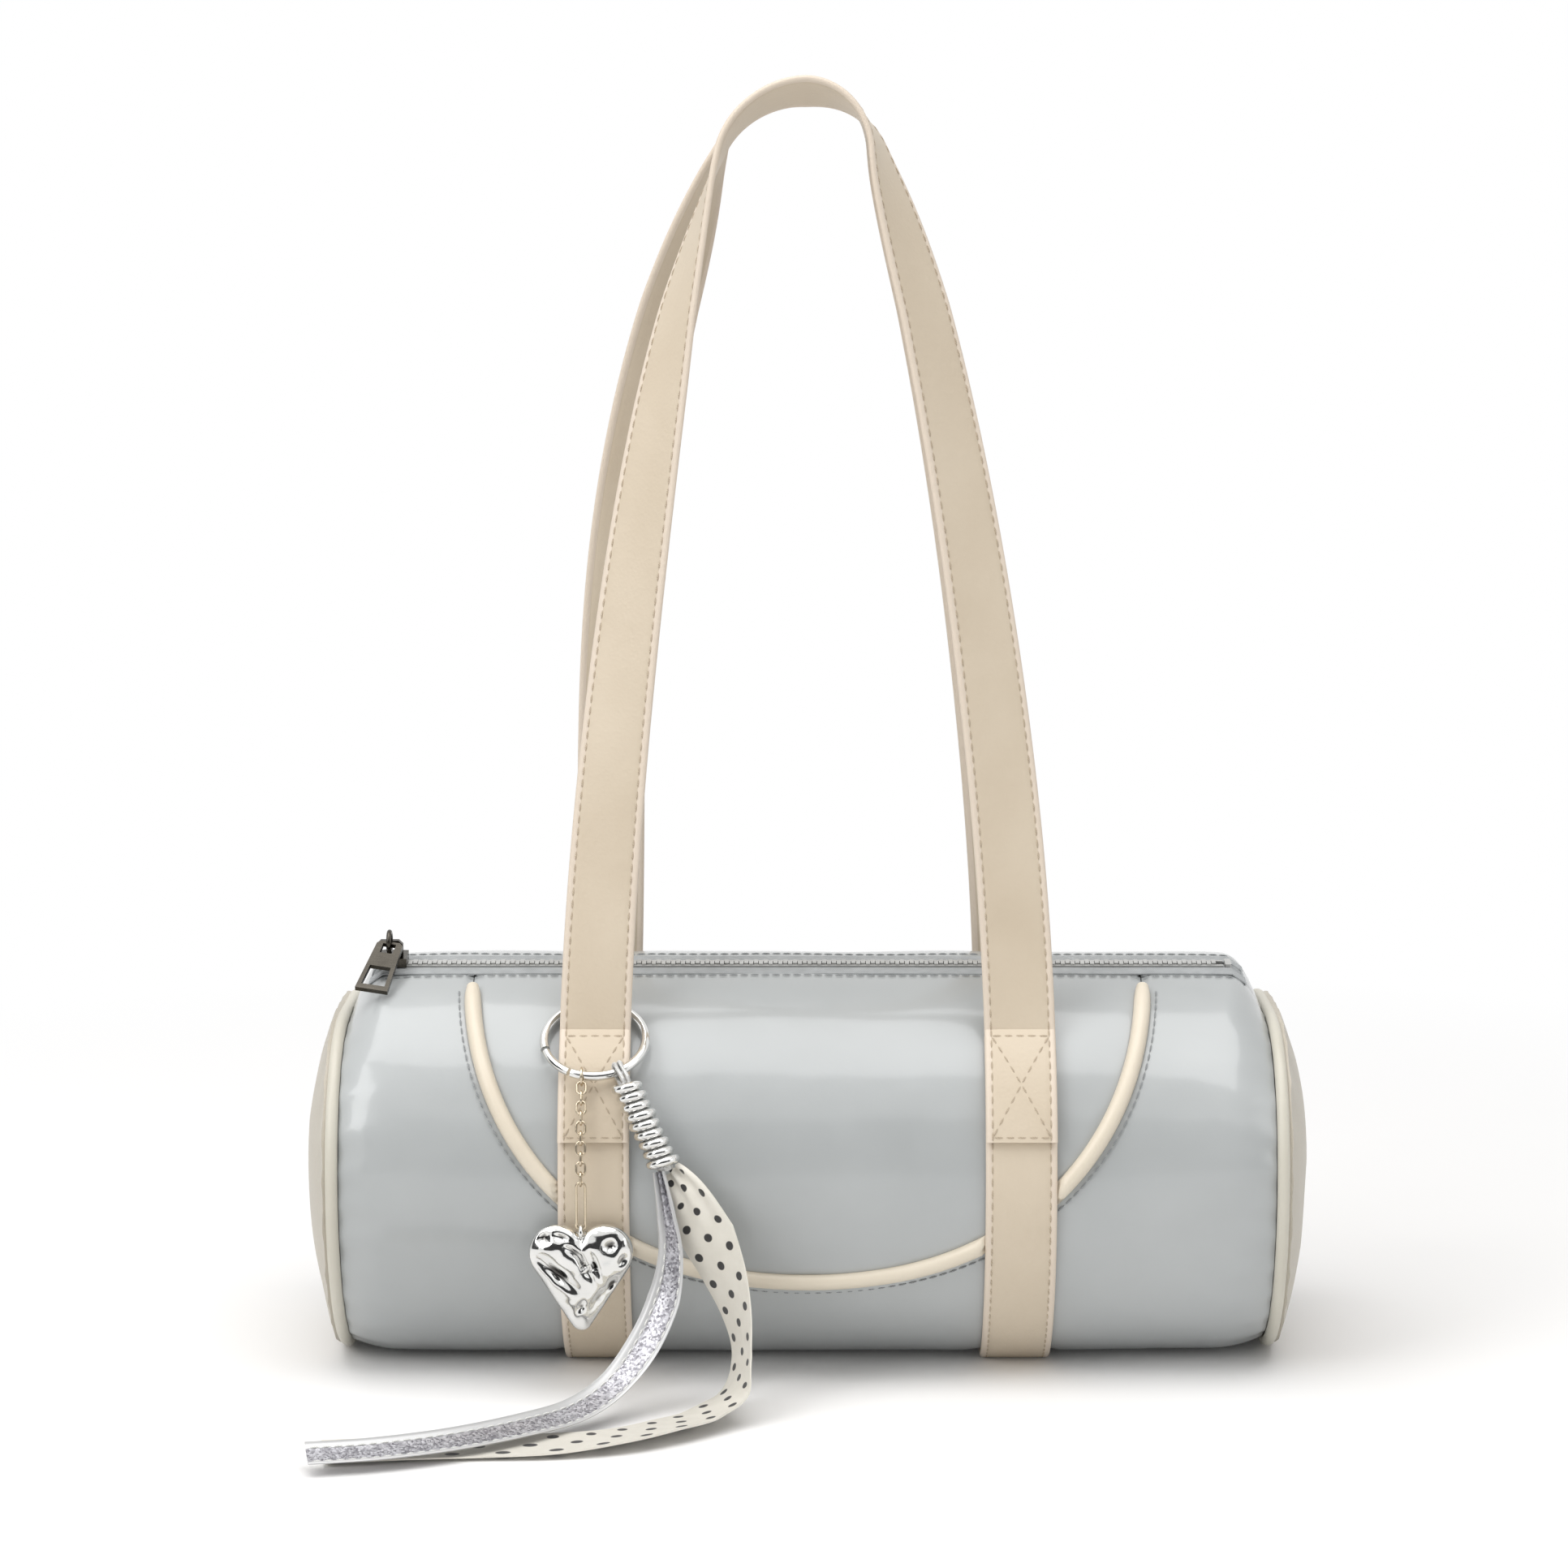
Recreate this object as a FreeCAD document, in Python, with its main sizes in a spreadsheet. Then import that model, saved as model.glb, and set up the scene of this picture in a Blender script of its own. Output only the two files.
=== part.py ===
"""Barrel bag with two long handles, a top zip and a hung charm, each piece its own solid, in millimetres."""

import FreeCAD, Part
import math
import os

from FreeCAD import Placement, Rotation, Vector

X_AXIS = Vector(1, 0, 0)
Y_AXIS = Vector(0, 1, 0)
Z_AXIS = Vector(0, 0, 1)

# Driving sizes: name, value in millimetres or degrees or a count, what it is
SIZES = (
    ("barrel_radius", 58.5, "outside of the round wall"),
    ("barrel_length", 262, "round wall from rim to rim"),
    ("base_sag", 3, "how far the round base has settled flat on the floor"),
    ("wall", 2, "coated wall with its backing"),
    ("end_bulge", 9, "how far each end panel domes outward"),
    ("end_piping_radius", 2, "welt cord round each end"),
    ("end_piping_blend", 20, "bend of the welt cord where it meets the flat base"),
    ("seam_gap", 0.25, "clearance between neighbours that are sewn together"),
    ("lining_thickness", 0.8, "inner cloth"),
    ("panel_half_width", 96, "front panel, half of its width"),
    ("panel_drop", 0.436, "lowest point of the front panel under the axis, as a share of the radius"),
    ("panel_corner", 0.9375, "radius of the front panel's corners, as a share of its half width"),
    ("panel_curve", 1.2677, "radius along the front panel's lower edge, as a share of its half width"),
    ("panel_piping_radius", 2, "welt cord round the front panel"),
    ("panel_piping_rise", 0.863, "end of the front welt cord above the axis, as a share of the radius"),
    ("zip_lean", 9, "zip line turned forward from the top"),
    ("zip_end_margin", 5, "from the end of the mouth to the rim"),
    ("zip_slot_width", 14, "mouth across"),
    ("tape_thickness", 1, "zip tape"),
    ("tooth_height", 2.4, "zip tooth through the tape"),
    ("tooth_reach", 2.6, "zip tooth across, from its bead"),
    ("tooth_width", 1.2, "zip tooth along the zip"),
    ("tooth_pitch", 2.8, "spacing of the teeth on one tape"),
    ("bead_width", 1, "bead that the teeth stand on"),
    ("bead_offset", 1.4, "bead's near side from the zip's centre line"),
    ("stop_length", 1.8, "stop at each end of the teeth"),
    ("tooth_margin", 8.4, "from the end of the mouth to the first tooth"),
    ("slider_margin", 6, "from the end of the mouth to the slider's middle when the zip is shut"),
    ("slider_length", 10, "slider along the zip"),
    ("slider_width", 9, "slider across"),
    ("slider_plate", 2, "slider's upper plate"),
    ("slider_flange", 0.5, "lips that reach down beside the teeth"),
    ("slider_clearance", 0.15, "running gap of the slider over the teeth"),
    ("bridge_length", 7.6, "arch on the slider, along the zip"),
    ("bridge_width", 1.6, "arch on the slider, across"),
    ("bridge_room", 3.2, "room under the arch"),
    ("bridge_bar", 1.2, "thickness of the arch"),
    ("link_radius", 2.9, "ring between slider and pull, to the wire's centre"),
    ("link_wire", 0.7, "radius of that ring's wire"),
    ("tab_length", 20, "zip pull"),
    ("tab_width", 9.5, "zip pull at its foot"),
    ("tab_top_width", 7.6, "zip pull at its eye"),
    ("tab_thickness", 1.4, "zip pull"),
    ("tab_tilt", 12, "zip pull turned sideways as it lies"),
    ("strap_width", 20, "bands and handles"),
    ("strap_thickness", 1.8, "folded and sewn strap"),
    ("strap_spacing", 119, "between the two bands, centre to centre"),
    ("sewn_low_angle", 15, "lower end of the sewn square, up from the barrel's waist"),
    ("sewn_high_angle", 45, "upper end of the sewn square"),
    ("handle_top", 365.2, "highest line of the handles"),
    ("handle_crown_radius", 25, "bend over the top"),
    ("handle_crown_tilt", 22, "slope of the strap at the top"),
    ("handle_lean_gap", 0.6, "between the two handles where they lean together"),
    ("handle_twist", 60, "turn that a leg takes evenly on the way up, degrees"),
    ("slack_leg_twist", 15, "the same for the slack leg of the back handle, degrees"),
    ("slack_leg_sway", 4, "how far the slack leg stands out sideways"),
    ("ring_radius", 14.2, "snap ring, to the wire's centre"),
    ("ring_wire", 1.3, "radius of the snap ring's wire"),
    ("ring_low_angle", 31, "front of the snap ring, up from the barrel's waist"),
    ("ring_lift", 2.7, "room for the chain between the snap ring and the sewn end"),
    ("gate_wire", 1.15, "radius of the gate's wire"),
    ("gate_angle", 50, "share of the ring that is the gate"),
    ("gate_start", 195, "where the gate is hinged, counted round the ring"),
    ("gate_gap", 4, "clearance at each end of the gate, degrees"),
    ("chain_angle", 257, "where the chain hangs, counted round the ring"),
    ("jump_radius", 2.4, "round link on the snap ring, to the wire's centre"),
    ("chain_link_length", 4.4, "outside length of a chain link"),
    ("chain_link_width", 3.2, "outside width of a chain link"),
    ("chain_wire", 0.36, "radius of the chain's wire"),
    ("chain_play", 0.15, "clearance between one link and the next"),
    ("chain_count", 10, "small links"),
    ("end_link_length", 14, "long link under the small ones"),
    ("heart_width", 29, "pendant across"),
    ("heart_depth", 8, "pendant front to back"),
    ("heart_lobe", 8, "radius of its two lobes"),
    ("heart_tip", 3, "radius of its tip"),
    ("heart_drop", 19, "lobe centres to tip centre"),
    ("eye_radius", 1.9, "pendant's hanging eye, to the wire's centre"),
    ("eye_wire", 0.55, "radius of that eye's wire"),
    ("tassel_angle", 300, "where the tassel hangs, counted round the ring"),
    ("loop_wire", 0.5, "radius of the tassel's cord"),
    ("loop_half_width", 2, "tassel loop, half of its width to the cord's centre"),
    ("coil_turns", 8, "loops of the wound wire"),
    ("coil_radius", 4.3, "wound wire, to the wire's centre"),
    ("coil_wire", 0.9, "radius of the wound wire"),
    ("coil_length", 20, "wound length"),
    ("core_radius", 2.9, "gathered ribbon inside the wound wire"),
    ("ribbon_thickness", 0.8, "both ribbons"),
    ("silver_width", 10, "narrow ribbon"),
    ("dotted_width", 20, "wide ribbon"),
)

doc = FreeCAD.newDocument("barrel_bag")
sheet = doc.addObject("Spreadsheet::Sheet", "sizes")

# Sizes that follow from the driving ones
DERIVED = (
    ("axis_height", "=barrel_radius - base_sag", "barrel axis above the floor"),
    ("zip_slot_length", "=barrel_length - 2 * zip_end_margin", "mouth along the barrel"),
    ("tooth_count", "=floor((zip_slot_length - 2 * tooth_margin) / tooth_pitch + 0.01)", "teeth on one tape"),
    ("slider_place", "=slider_margin - zip_slot_length / 2", "slider along the barrel when the zip is shut"),
    ("panel_bottom", "=axis_height - panel_drop * barrel_radius", "lowest point of the front panel"),
    ("panel_corner_radius", "=panel_corner * panel_half_width", "rounded corners of the front panel"),
    ("panel_bottom_radius", "=panel_curve * panel_half_width", "curve along the front panel's lower edge"),
    ("panel_piping_top", "=axis_height + panel_piping_rise * barrel_radius", "end of the front welt cord"),
)
for row, (alias, number, note) in enumerate(SIZES + DERIVED, start=1):
    sheet.set(f"A{row}", alias)
    sheet.set(f"B{row}", str(number))
    sheet.set(f"C{row}", note)
    sheet.setAlias(f"B{row}", alias)
doc.recompute()

pieces = []


def size(alias):
    """The value of one driving size."""
    return float(sheet.get(alias))


def bind(thing, expressions):
    """Ties properties of a document object to the sheet."""
    for prop, expression in expressions.items():
        thing.setExpression(prop, expression)


def keep(thing, label):
    """Marks a document object as a finished piece with its own file."""
    thing.Label = label
    pieces.append(thing)
    return thing


def shape_piece(label, shape, placement=None):
    """A finished piece whose shape is worked out in code."""
    thing = doc.addObject("Part::Feature", label)
    thing.Shape = shape
    thing.Placement = placement or Placement()
    return keep(thing, label)


def wall_point(radius, angle, x=0.0):
    """A point at a distance from the barrel axis, at an angle up from the front of the waist, in degrees."""
    turn = math.radians(angle)
    return Vector(x, -radius * math.cos(turn), size("axis_height") + radius * math.sin(turn))


def rolled(placement):
    """A placement given with the zip on top, turned to where the zip lies."""
    hub = Placement(Vector(0, 0, size("axis_height")), Rotation(X_AXIS, size("zip_lean")))
    return hub.multiply(placement)


def plane_of(body, role):
    """One of a body's own origin planes."""
    return next(plane for plane in body.Origin.OriginFeatures if plane.Role == role)


def new_sketch(body, role, name, geometry):
    """A sketch of lines and arcs on one of the body's origin planes."""
    sketch = body.newObject("Sketcher::SketchObject", name)
    sketch.AttachmentSupport = [(plane_of(body, role), "")]
    sketch.MapMode = "FlatFace"
    sketch.addGeometry(geometry, False)
    return sketch


def polyline(corners):
    """Closed run of straight lines through flat corners."""
    points = [Vector(x, y, 0) for x, y in corners]
    return [Part.LineSegment(a, b) for a, b in zip(points, points[1:] + points[:1])]


def new_pad(body, sketch, name, length, middle=True):
    """A pad whose length is an expression, on both sides of the sketch or on one."""
    pad = body.newObject("PartDesign::Pad", name)
    pad.Profile = sketch
    pad.setExpression("Length", length)
    pad.SideType = "Symmetric" if middle else "One side"
    return pad


def biarc_edges(points, tangents):
    """Two tangent arcs from each point to the next, so that the whole run is smooth."""
    edges = []
    for start, end, leave, arrive in zip(points, points[1:], tangents, tangents[1:]):
        chord = end - start
        spread = 2 * (1 - leave.dot(arrive))
        along = chord.dot(leave + arrive)
        if spread < 1e-9:
            reach = chord.dot(chord) / (4 * chord.dot(arrive))
        else:
            reach = (math.sqrt(along * along + spread * chord.dot(chord)) - along) / spread
        joint = (start + end + (leave - arrive) * reach) * 0.5
        halves = ((start, joint, start + leave * reach), (joint, end, end - arrive * reach))
        for near, far, corner in halves:
            middle = (near + far) * 0.5
            rise = corner - middle
            half = (far - near).Length / 2
            if rise.Length < 1e-6:
                edges.append(Part.LineSegment(near, far).toShape())
                continue
            bulge = half * math.tan(math.atan2(rise.Length, half) / 2)
            edges.append(Part.Arc(near, middle + rise.normalize() * bulge, far).toShape())
    return edges


def tube(edges, radius):
    """A round tube along joined edges."""
    path = Part.Wire(edges)
    start = path.Edges[0]
    first = start.FirstParameter
    ring = Part.Wire(Part.makeCircle(radius, start.valueAt(first), start.tangentAt(first)))
    return path.makePipeShell([ring], True, False)


def oval_link(length, width, wire):
    """A long ring standing in the XZ plane, centred on the origin, with its long side upright."""
    bend = width / 2 - wire
    leg = length / 2 - wire - bend
    corners = [Vector(side * bend, 0, end * leg) for side, end in ((-1, -1), (-1, 1), (1, 1), (1, -1))]
    top = Part.Arc(corners[1], Vector(0, 0, leg + bend), corners[2])
    foot = Part.Arc(corners[3], Vector(0, 0, -leg - bend), corners[0])
    left = Part.LineSegment(corners[0], corners[1])
    right = Part.LineSegment(corners[2], corners[3])
    return tube([part.toShape() for part in (left, top, right, foot)], wire)


def upright(along, across):
    """A turn that takes Z to one direction and keeps Y near another."""
    up = Vector(along).normalize()
    side = Vector(across).cross(up).normalize()
    return Rotation(side, up.cross(side), up, "ZXY")


# Round wall, lining and ends


def round_bar(name, radius, length, floor):
    """A lying cylinder with its underside cut off flat at a height. All three are expressions."""
    bar = doc.addObject("Part::Cylinder", name + "_round")
    bind(bar, {"Radius": radius, "Height": length})
    bar.Placement = Placement(Vector(), Rotation(Y_AXIS, 90))
    bind(bar, {"Placement.Base.x": f"-({length}) / 2", "Placement.Base.z": "sizes.axis_height"})
    room = doc.addObject("Part::Box", name + "_room")
    bind(
        room,
        {
            "Length": "sizes.barrel_length * 2",
            "Width": "sizes.barrel_radius * 4",
            "Height": "sizes.barrel_radius * 4",
            "Placement.Base.x": "-sizes.barrel_length",
            "Placement.Base.y": "-sizes.barrel_radius * 2",
            "Placement.Base.z": floor,
        },
    )
    cut = doc.addObject("Part::Common", name)
    cut.Base, cut.Tool = bar, room
    doc.recompute()
    return cut


BASE_INSIDE = "sizes.strap_thickness + sizes.seam_gap + sizes.wall"


def mouth_tool():
    """The slot that the zip closes."""
    mouth = doc.addObject("Part::Box", "mouth_tool")
    bind(mouth, {"Length": "sizes.zip_slot_length", "Width": "sizes.zip_slot_width"})
    bind(mouth, {"Height": "sizes.barrel_radius"})
    corner = Vector(-size("zip_slot_length") / 2, -size("zip_slot_width") / 2, size("barrel_radius") / 2)
    mouth.Placement = rolled(Placement(corner, Rotation()))
    return mouth


def panel_outline(shrink):
    """Centres and radii of the front panel's corner and bottom arcs seen from the front, drawn in a little."""
    half, corner = size("panel_half_width"), size("panel_corner_radius")
    bottom = size("panel_bottom_radius")
    low_centre = Vector(0, 0, size("panel_bottom") + bottom)
    side = half - corner
    drop = math.sqrt((bottom - corner) ** 2 - side**2)
    corner_centre = Vector(-side, 0, low_centre.z - drop)
    turn = math.atan2(-drop, -side)
    return corner_centre, low_centre, turn, corner - shrink, bottom - shrink


def panel_tool(shrink):
    """A block with the front panel's outline, reaching back to the zip line."""
    corner_centre, low_centre, turn, corner, bottom = panel_outline(shrink)

    def on_corner(angle):
        return corner_centre + Vector(math.cos(angle), 0, math.sin(angle)) * corner

    def mirrored(point):
        return Vector(-point.x, point.y, point.z)

    top_left = on_corner(math.pi)
    side = on_corner((math.pi + turn + 2 * math.pi) / 2)
    join = on_corner(turn)
    lowest = low_centre - Z_AXIS * bottom
    outline = [
        Part.Arc(top_left, side, join),
        Part.Arc(join, lowest, mirrored(join)),
        Part.Arc(mirrored(join), mirrored(side), mirrored(top_left)),
        Part.LineSegment(mirrored(top_left), top_left),
    ]
    face = Part.Face(Part.Wire([edge.toShape() for edge in outline]))
    reach = size("barrel_radius") * 1.5
    back = -size("barrel_radius") * math.sin(math.radians(size("zip_lean")))
    face.translate(Vector(0, back - reach, 0))
    return face.extrude(Vector(0, reach, 0))


def panel_seam(samples=6):
    """Points and directions along the front panel's edge, laid on the round wall."""
    corner_centre, low_centre, turn, corner, bottom = panel_outline(0)
    radius, axis = size("barrel_radius"), size("axis_height")
    first = math.pi + math.asin((corner_centre.z - size("panel_piping_top")) / corner)
    last = turn + 2 * math.pi
    flat = [(corner_centre, corner, first + (last - first) * step / samples) for step in range(samples)]
    flat += [(low_centre, bottom, last), (low_centre, bottom, 1.5 * math.pi)]

    def lift(centre, arc, angle):
        x = centre.x + arc * math.cos(angle)
        z = centre.z + arc * math.sin(angle)
        return Vector(x, -math.sqrt(radius**2 - (z - axis) ** 2), z)

    step = 1e-4
    left = [lift(*spot) for spot in flat]
    slopes = [(lift(c, r, a + step) - lift(c, r, a - step)).normalize() for c, r, a in flat]
    points = left + [Vector(-p.x, p.y, p.z) for p in reversed(left[:-1])]
    tangents = slopes + [Vector(t.x, -t.y, -t.z) for t in reversed(slopes[:-1])]
    return points, tangents


def strap_bed(radius):
    """Rings of the bands' width, from a radius outward, over both bands."""
    width = size("strap_width") + 2 * size("seam_gap")
    rings = []
    for side in (-1, 1):
        start = Vector(side * size("strap_spacing") / 2 - width / 2, 0, size("axis_height"))
        outer = Part.makeCylinder(radius + size("barrel_radius"), width, start, X_AXIS)
        rings.append(outer.cut(Part.makeCylinder(radius, width, start, X_AXIS)))
    return Part.makeCompound(rings)


def make_wall():
    """The round wall, its inset front panel and the welt cord sewn between them."""
    outer = round_bar("wall_outer", "sizes.barrel_radius", "sizes.barrel_length", "0")
    past = "sizes.barrel_length * 1.1"
    inner = round_bar("wall_inner", "sizes.barrel_radius - sizes.wall", past, BASE_INSIDE)
    hollow = doc.addObject("Part::Cut", "wall_hollow")
    hollow.Base, hollow.Tool = outer, inner
    mouth = mouth_tool()
    open_wall = doc.addObject("Part::Cut", "wall_open")
    open_wall.Base, open_wall.Tool = hollow, mouth
    doc.recompute()

    gap = size("seam_gap")
    seam = biarc_edges(*panel_seam())
    groove = tube(seam, size("panel_piping_radius") + gap)
    slots = []
    for side in (-1, 1):
        width = size("strap_width") + 2 * gap
        corner = Vector(side * size("strap_spacing") / 2 - width / 2, -size("barrel_radius"), -1)
        depth = size("strap_thickness") + gap + 1
        slots.append(Part.makeBox(width, 2 * size("barrel_radius"), depth, corner))
    shell = open_wall.Shape.cut(panel_tool(0)).cut(groove).cut(Part.makeCompound(slots))
    shape_piece("barrel_shell", largest(shell))
    panel = open_wall.Shape.common(panel_tool(gap)).cut(groove)
    shape_piece("front_panel", largest(panel))
    cord = tube(seam, size("panel_piping_radius")).cut(strap_bed(size("barrel_radius")))
    shape_piece("panel_piping", largest(cord))

    inset = "(sizes.wall + sizes.seam_gap)"
    cloth = round_bar(
        "lining_outer",
        f"sizes.barrel_radius - {inset}",
        "sizes.barrel_length",
        f"{BASE_INSIDE} + sizes.seam_gap",
    )
    room = round_bar(
        "lining_inner",
        f"sizes.barrel_radius - {inset} - sizes.lining_thickness",
        "sizes.barrel_length - 2 * sizes.lining_thickness",
        f"{BASE_INSIDE} + sizes.seam_gap + sizes.lining_thickness",
    )
    bag = doc.addObject("Part::Cut", "lining_hollow")
    bag.Base, bag.Tool = cloth, room
    lining = doc.addObject("Part::Cut", "lining")
    lining.Base, lining.Tool = bag, mouth
    keep(lining, "lining")


def largest(shape):
    """The biggest solid of a cut shape."""
    return max(shape.Solids, key=lambda solid: solid.Volume)


def make_ends():
    """A domed panel and a welt cord at each end of the round wall."""
    radius, bulge, axis = size("barrel_radius"), size("end_bulge"), size("axis_height")
    welt, gap = size("end_piping_radius"), size("seam_gap")
    rim = size("barrel_length") / 2
    face = rim + 2 * welt + gap
    ball = (radius**2 + bulge**2) / (2 * bulge)
    centre = Vector(face + bulge - ball, 0, axis)
    cap = Part.makeSphere(ball, centre).cut(Part.makeSphere(ball - size("wall"), centre))
    cap = cap.common(Part.makeCylinder(radius, 2 * bulge, Vector(face, 0, axis), X_AXIS))
    above = Part.makeBox(4 * bulge, 4 * radius, 4 * radius, Vector(face - bulge, -2 * radius, 0))
    cap = largest(cap.common(above))

    path_radius = radius - 0.25 * welt
    blend, floor = size("end_piping_blend"), welt + gap
    side = math.sqrt((path_radius - blend) ** 2 - (floor + blend - axis) ** 2)
    hub = Vector(0, 0, axis)
    fillet = Vector(0, side, floor + blend)
    meet = hub + (fillet - hub).normalize() * path_radius
    low = Vector(0, side, floor)
    bend = fillet + ((meet - fillet) + (low - fillet)).normalize() * blend

    def flipped(point):
        return Vector(point.x, -point.y, point.z)

    halfway = (math.atan2(meet.z - axis, meet.y) + math.pi / 2) / 2
    shoulder = hub + Vector(0, math.cos(halfway), math.sin(halfway)) * path_radius
    crown = hub + Z_AXIS * path_radius
    path = [
        Part.LineSegment(flipped(low), low),
        Part.Arc(low, bend, meet),
        Part.Arc(meet, shoulder, crown),
        Part.Arc(crown, flipped(shoulder), flipped(meet)),
        Part.Arc(flipped(meet), flipped(bend), flipped(low)),
    ]
    cord = tube([edge.toShape() for edge in path], welt)
    for name, turn in (("right", 0), ("left", 180)):
        about = Placement(Vector(), Rotation(Z_AXIS, turn))
        shape_piece(f"{name}_end_panel", cap, about)
        seat = Placement(Vector(rim + welt + gap / 2, 0, 0), Rotation())
        shape_piece(f"{name}_end_piping", cord, about.multiply(seat))


# Zip


def zip_radius():
    """Distance of the tape's middle from the barrel axis."""
    return size("barrel_radius") - size("tooth_height") / 2


def make_zip():
    """Two tapes, two rows of teeth that mesh, and the stops at the ends."""
    length = size("zip_slot_length") - 2 * size("seam_gap")
    inner = size("bead_offset") + size("bead_width") + size("seam_gap") / 2
    run = size("tooth_count") * size("tooth_pitch")
    lift = Placement(Vector(0, 0, zip_radius()), Rotation())
    for name, side in (("front", -1), ("back", 1)):
        tape = doc.addObject("Part::Box", f"{name}_zip_tape")
        width = "sizes.zip_slot_width / 2 - sizes.bead_offset - sizes.bead_width - sizes.seam_gap * 1.5"
        bind(tape, {"Length": "sizes.zip_slot_length - 2 * sizes.seam_gap"})
        bind(tape, {"Width": width, "Height": "sizes.tape_thickness"})
        doc.recompute()
        near = inner if side > 0 else -inner - tape.Width.Value
        corner = Vector(-length / 2, near, -size("tape_thickness") / 2)
        tape.Placement = rolled(lift.multiply(Placement(corner, Rotation())))
        keep(tape, f"{name}_zip_tape")

        body = doc.addObject("PartDesign::Body", f"{name}_teeth_body")
        bead, reach = size("bead_offset"), size("tooth_reach")
        far = bead + size("bead_width")
        start = -run / 2 + (0 if side < 0 else size("tooth_pitch") / 2)
        first, last = -run / 2, run / 2 + size("tooth_width") + size("tooth_pitch") / 4
        edge = [(first, side * bead), (last, side * bead), (last, side * far), (first, side * far)]
        bead_sketch = new_sketch(body, "XY_Plane", f"{name}_bead", polyline(edge))
        new_pad(body, bead_sketch, f"{name}_bead_pad", "sizes.tape_thickness * 1.6")
        tip, end, root = side * (bead - reach), start + size("tooth_width"), side * (far + bead) / 2
        tooth_lines = polyline([(start, tip), (end, tip), (end, root), (start, root)])
        tooth_sketch = new_sketch(body, "XY_Plane", f"{name}_tooth", tooth_lines)
        tooth = new_pad(body, tooth_sketch, f"{name}_tooth_pad", "sizes.tooth_height")
        doc.recompute()
        row = body.newObject("PartDesign::LinearPattern", f"{name}_tooth_row")
        row.Originals = [tooth]
        row.Direction = (tooth.Profile[0], ["H_Axis"])
        row.Mode = "Spacing"
        bind(row, {"Offset": "sizes.tooth_pitch", "Occurrences": "sizes.tooth_count"})
        body.Tip = row
        doc.recompute()
        body.Placement = rolled(lift)
        keep(body, f"{name}_zip_teeth")

    stops, tall = [], size("tooth_height")
    for place in (first - size("stop_length") - 2 * size("seam_gap"), last + 2 * size("seam_gap")):
        block = Part.makeBox(size("stop_length"), 2 * far, tall, Vector(place, -far, -tall / 2))
        upright_edges = [edge for edge in block.Edges if edge.tangentAt(0).isEqual(Z_AXIS, 1e-6)]
        stops.append(block.makeFillet(size("stop_length") / 4, upright_edges))
    shape_piece("zip_stops", Part.makeCompound(stops), rolled(lift))


def slider_top():
    """Distance of the slider plate's upper face from the barrel axis."""
    return size("barrel_radius") + size("slider_clearance") + size("slider_plate")


def bar_point():
    """Middle of the slider's arch, which the pull's ring hangs on."""
    radius = slider_top() + size("bridge_room") + size("bridge_bar") / 2
    return rolled(Placement(Vector(size("slider_place"), 0, radius), Rotation())).Base


def make_slider():
    """Slider plate with lips beside the teeth and an arch for the pull."""
    body = doc.addObject("PartDesign::Body", "slider_body")
    half, wide = size("slider_length") / 2, size("slider_width") / 2
    narrow = wide * 0.72
    edge = [(-half, -narrow), (-half * 0.3, -wide), (half, -wide * 0.86)]
    edge += [(x, -y) for x, y in reversed(edge)]
    outline = new_sketch(body, "XY_Plane", "slider_outline", polyline(edge))
    plate = new_pad(body, outline, "slider_plate_pad", "sizes.slider_plate + sizes.slider_flange", False)
    plate.Reversed = True
    doc.recompute()
    room = size("bead_offset") + size("bead_width") + 2 * size("slider_clearance")
    deep = -size("slider_plate")
    channel = polyline([(-room, deep), (room, deep), (room, deep * 4), (-room, deep * 4)])
    pocket = body.newObject("PartDesign::Pocket", "slider_channel")
    pocket.Profile = new_sketch(body, "YZ_Plane", "slider_channel_outline", channel)
    bind(pocket, {"Length": "sizes.slider_length * 2"})
    pocket.SideType = "Symmetric"
    doc.recompute()
    span, rise = size("bridge_length") / 2, size("bridge_room")
    bar = size("bridge_bar")
    root = -0.1 * size("slider_plate")
    edge = [(-span, root), (-span, rise), (-span + bar, rise + bar)]
    edge += [(-x, z) for x, z in reversed(edge)]
    edge += [(span - bar, root), (span - bar, rise), (-span + bar, rise), (-span + bar, root)]
    arch = new_sketch(body, "XZ_Plane", "bridge_outline", polyline(edge))
    new_pad(body, arch, "bridge_pad", "sizes.bridge_width")
    doc.recompute()
    body.Placement = rolled(Placement(Vector(size("slider_place"), 0, slider_top()), Rotation()))
    keep(body, "zip_slider")


def link_centre():
    """Middle of the pull's ring, a little forward of the arch that it hangs on."""
    forward = Rotation(X_AXIS, size("zip_lean")).multVec(Vector(0, -0.9, 0.3))
    return bar_point() + forward


def tab_eye():
    """Where the pull hangs on its ring."""
    turn = math.radians(30)
    return link_centre() + Vector(0, -math.cos(turn), -math.sin(turn)) * size("link_radius")


def tab_slope():
    """Angle of the pull below level as it lies against the round wall."""
    eye = tab_eye() - Vector(size("slider_place"), 0, size("axis_height"))
    rest = size("barrel_radius") + size("tab_thickness") / 2 + 2 * size("seam_gap")
    touch = math.degrees(math.atan2(eye.z, -eye.y) - math.acos(rest / eye.Length))
    return 90 - touch


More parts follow.
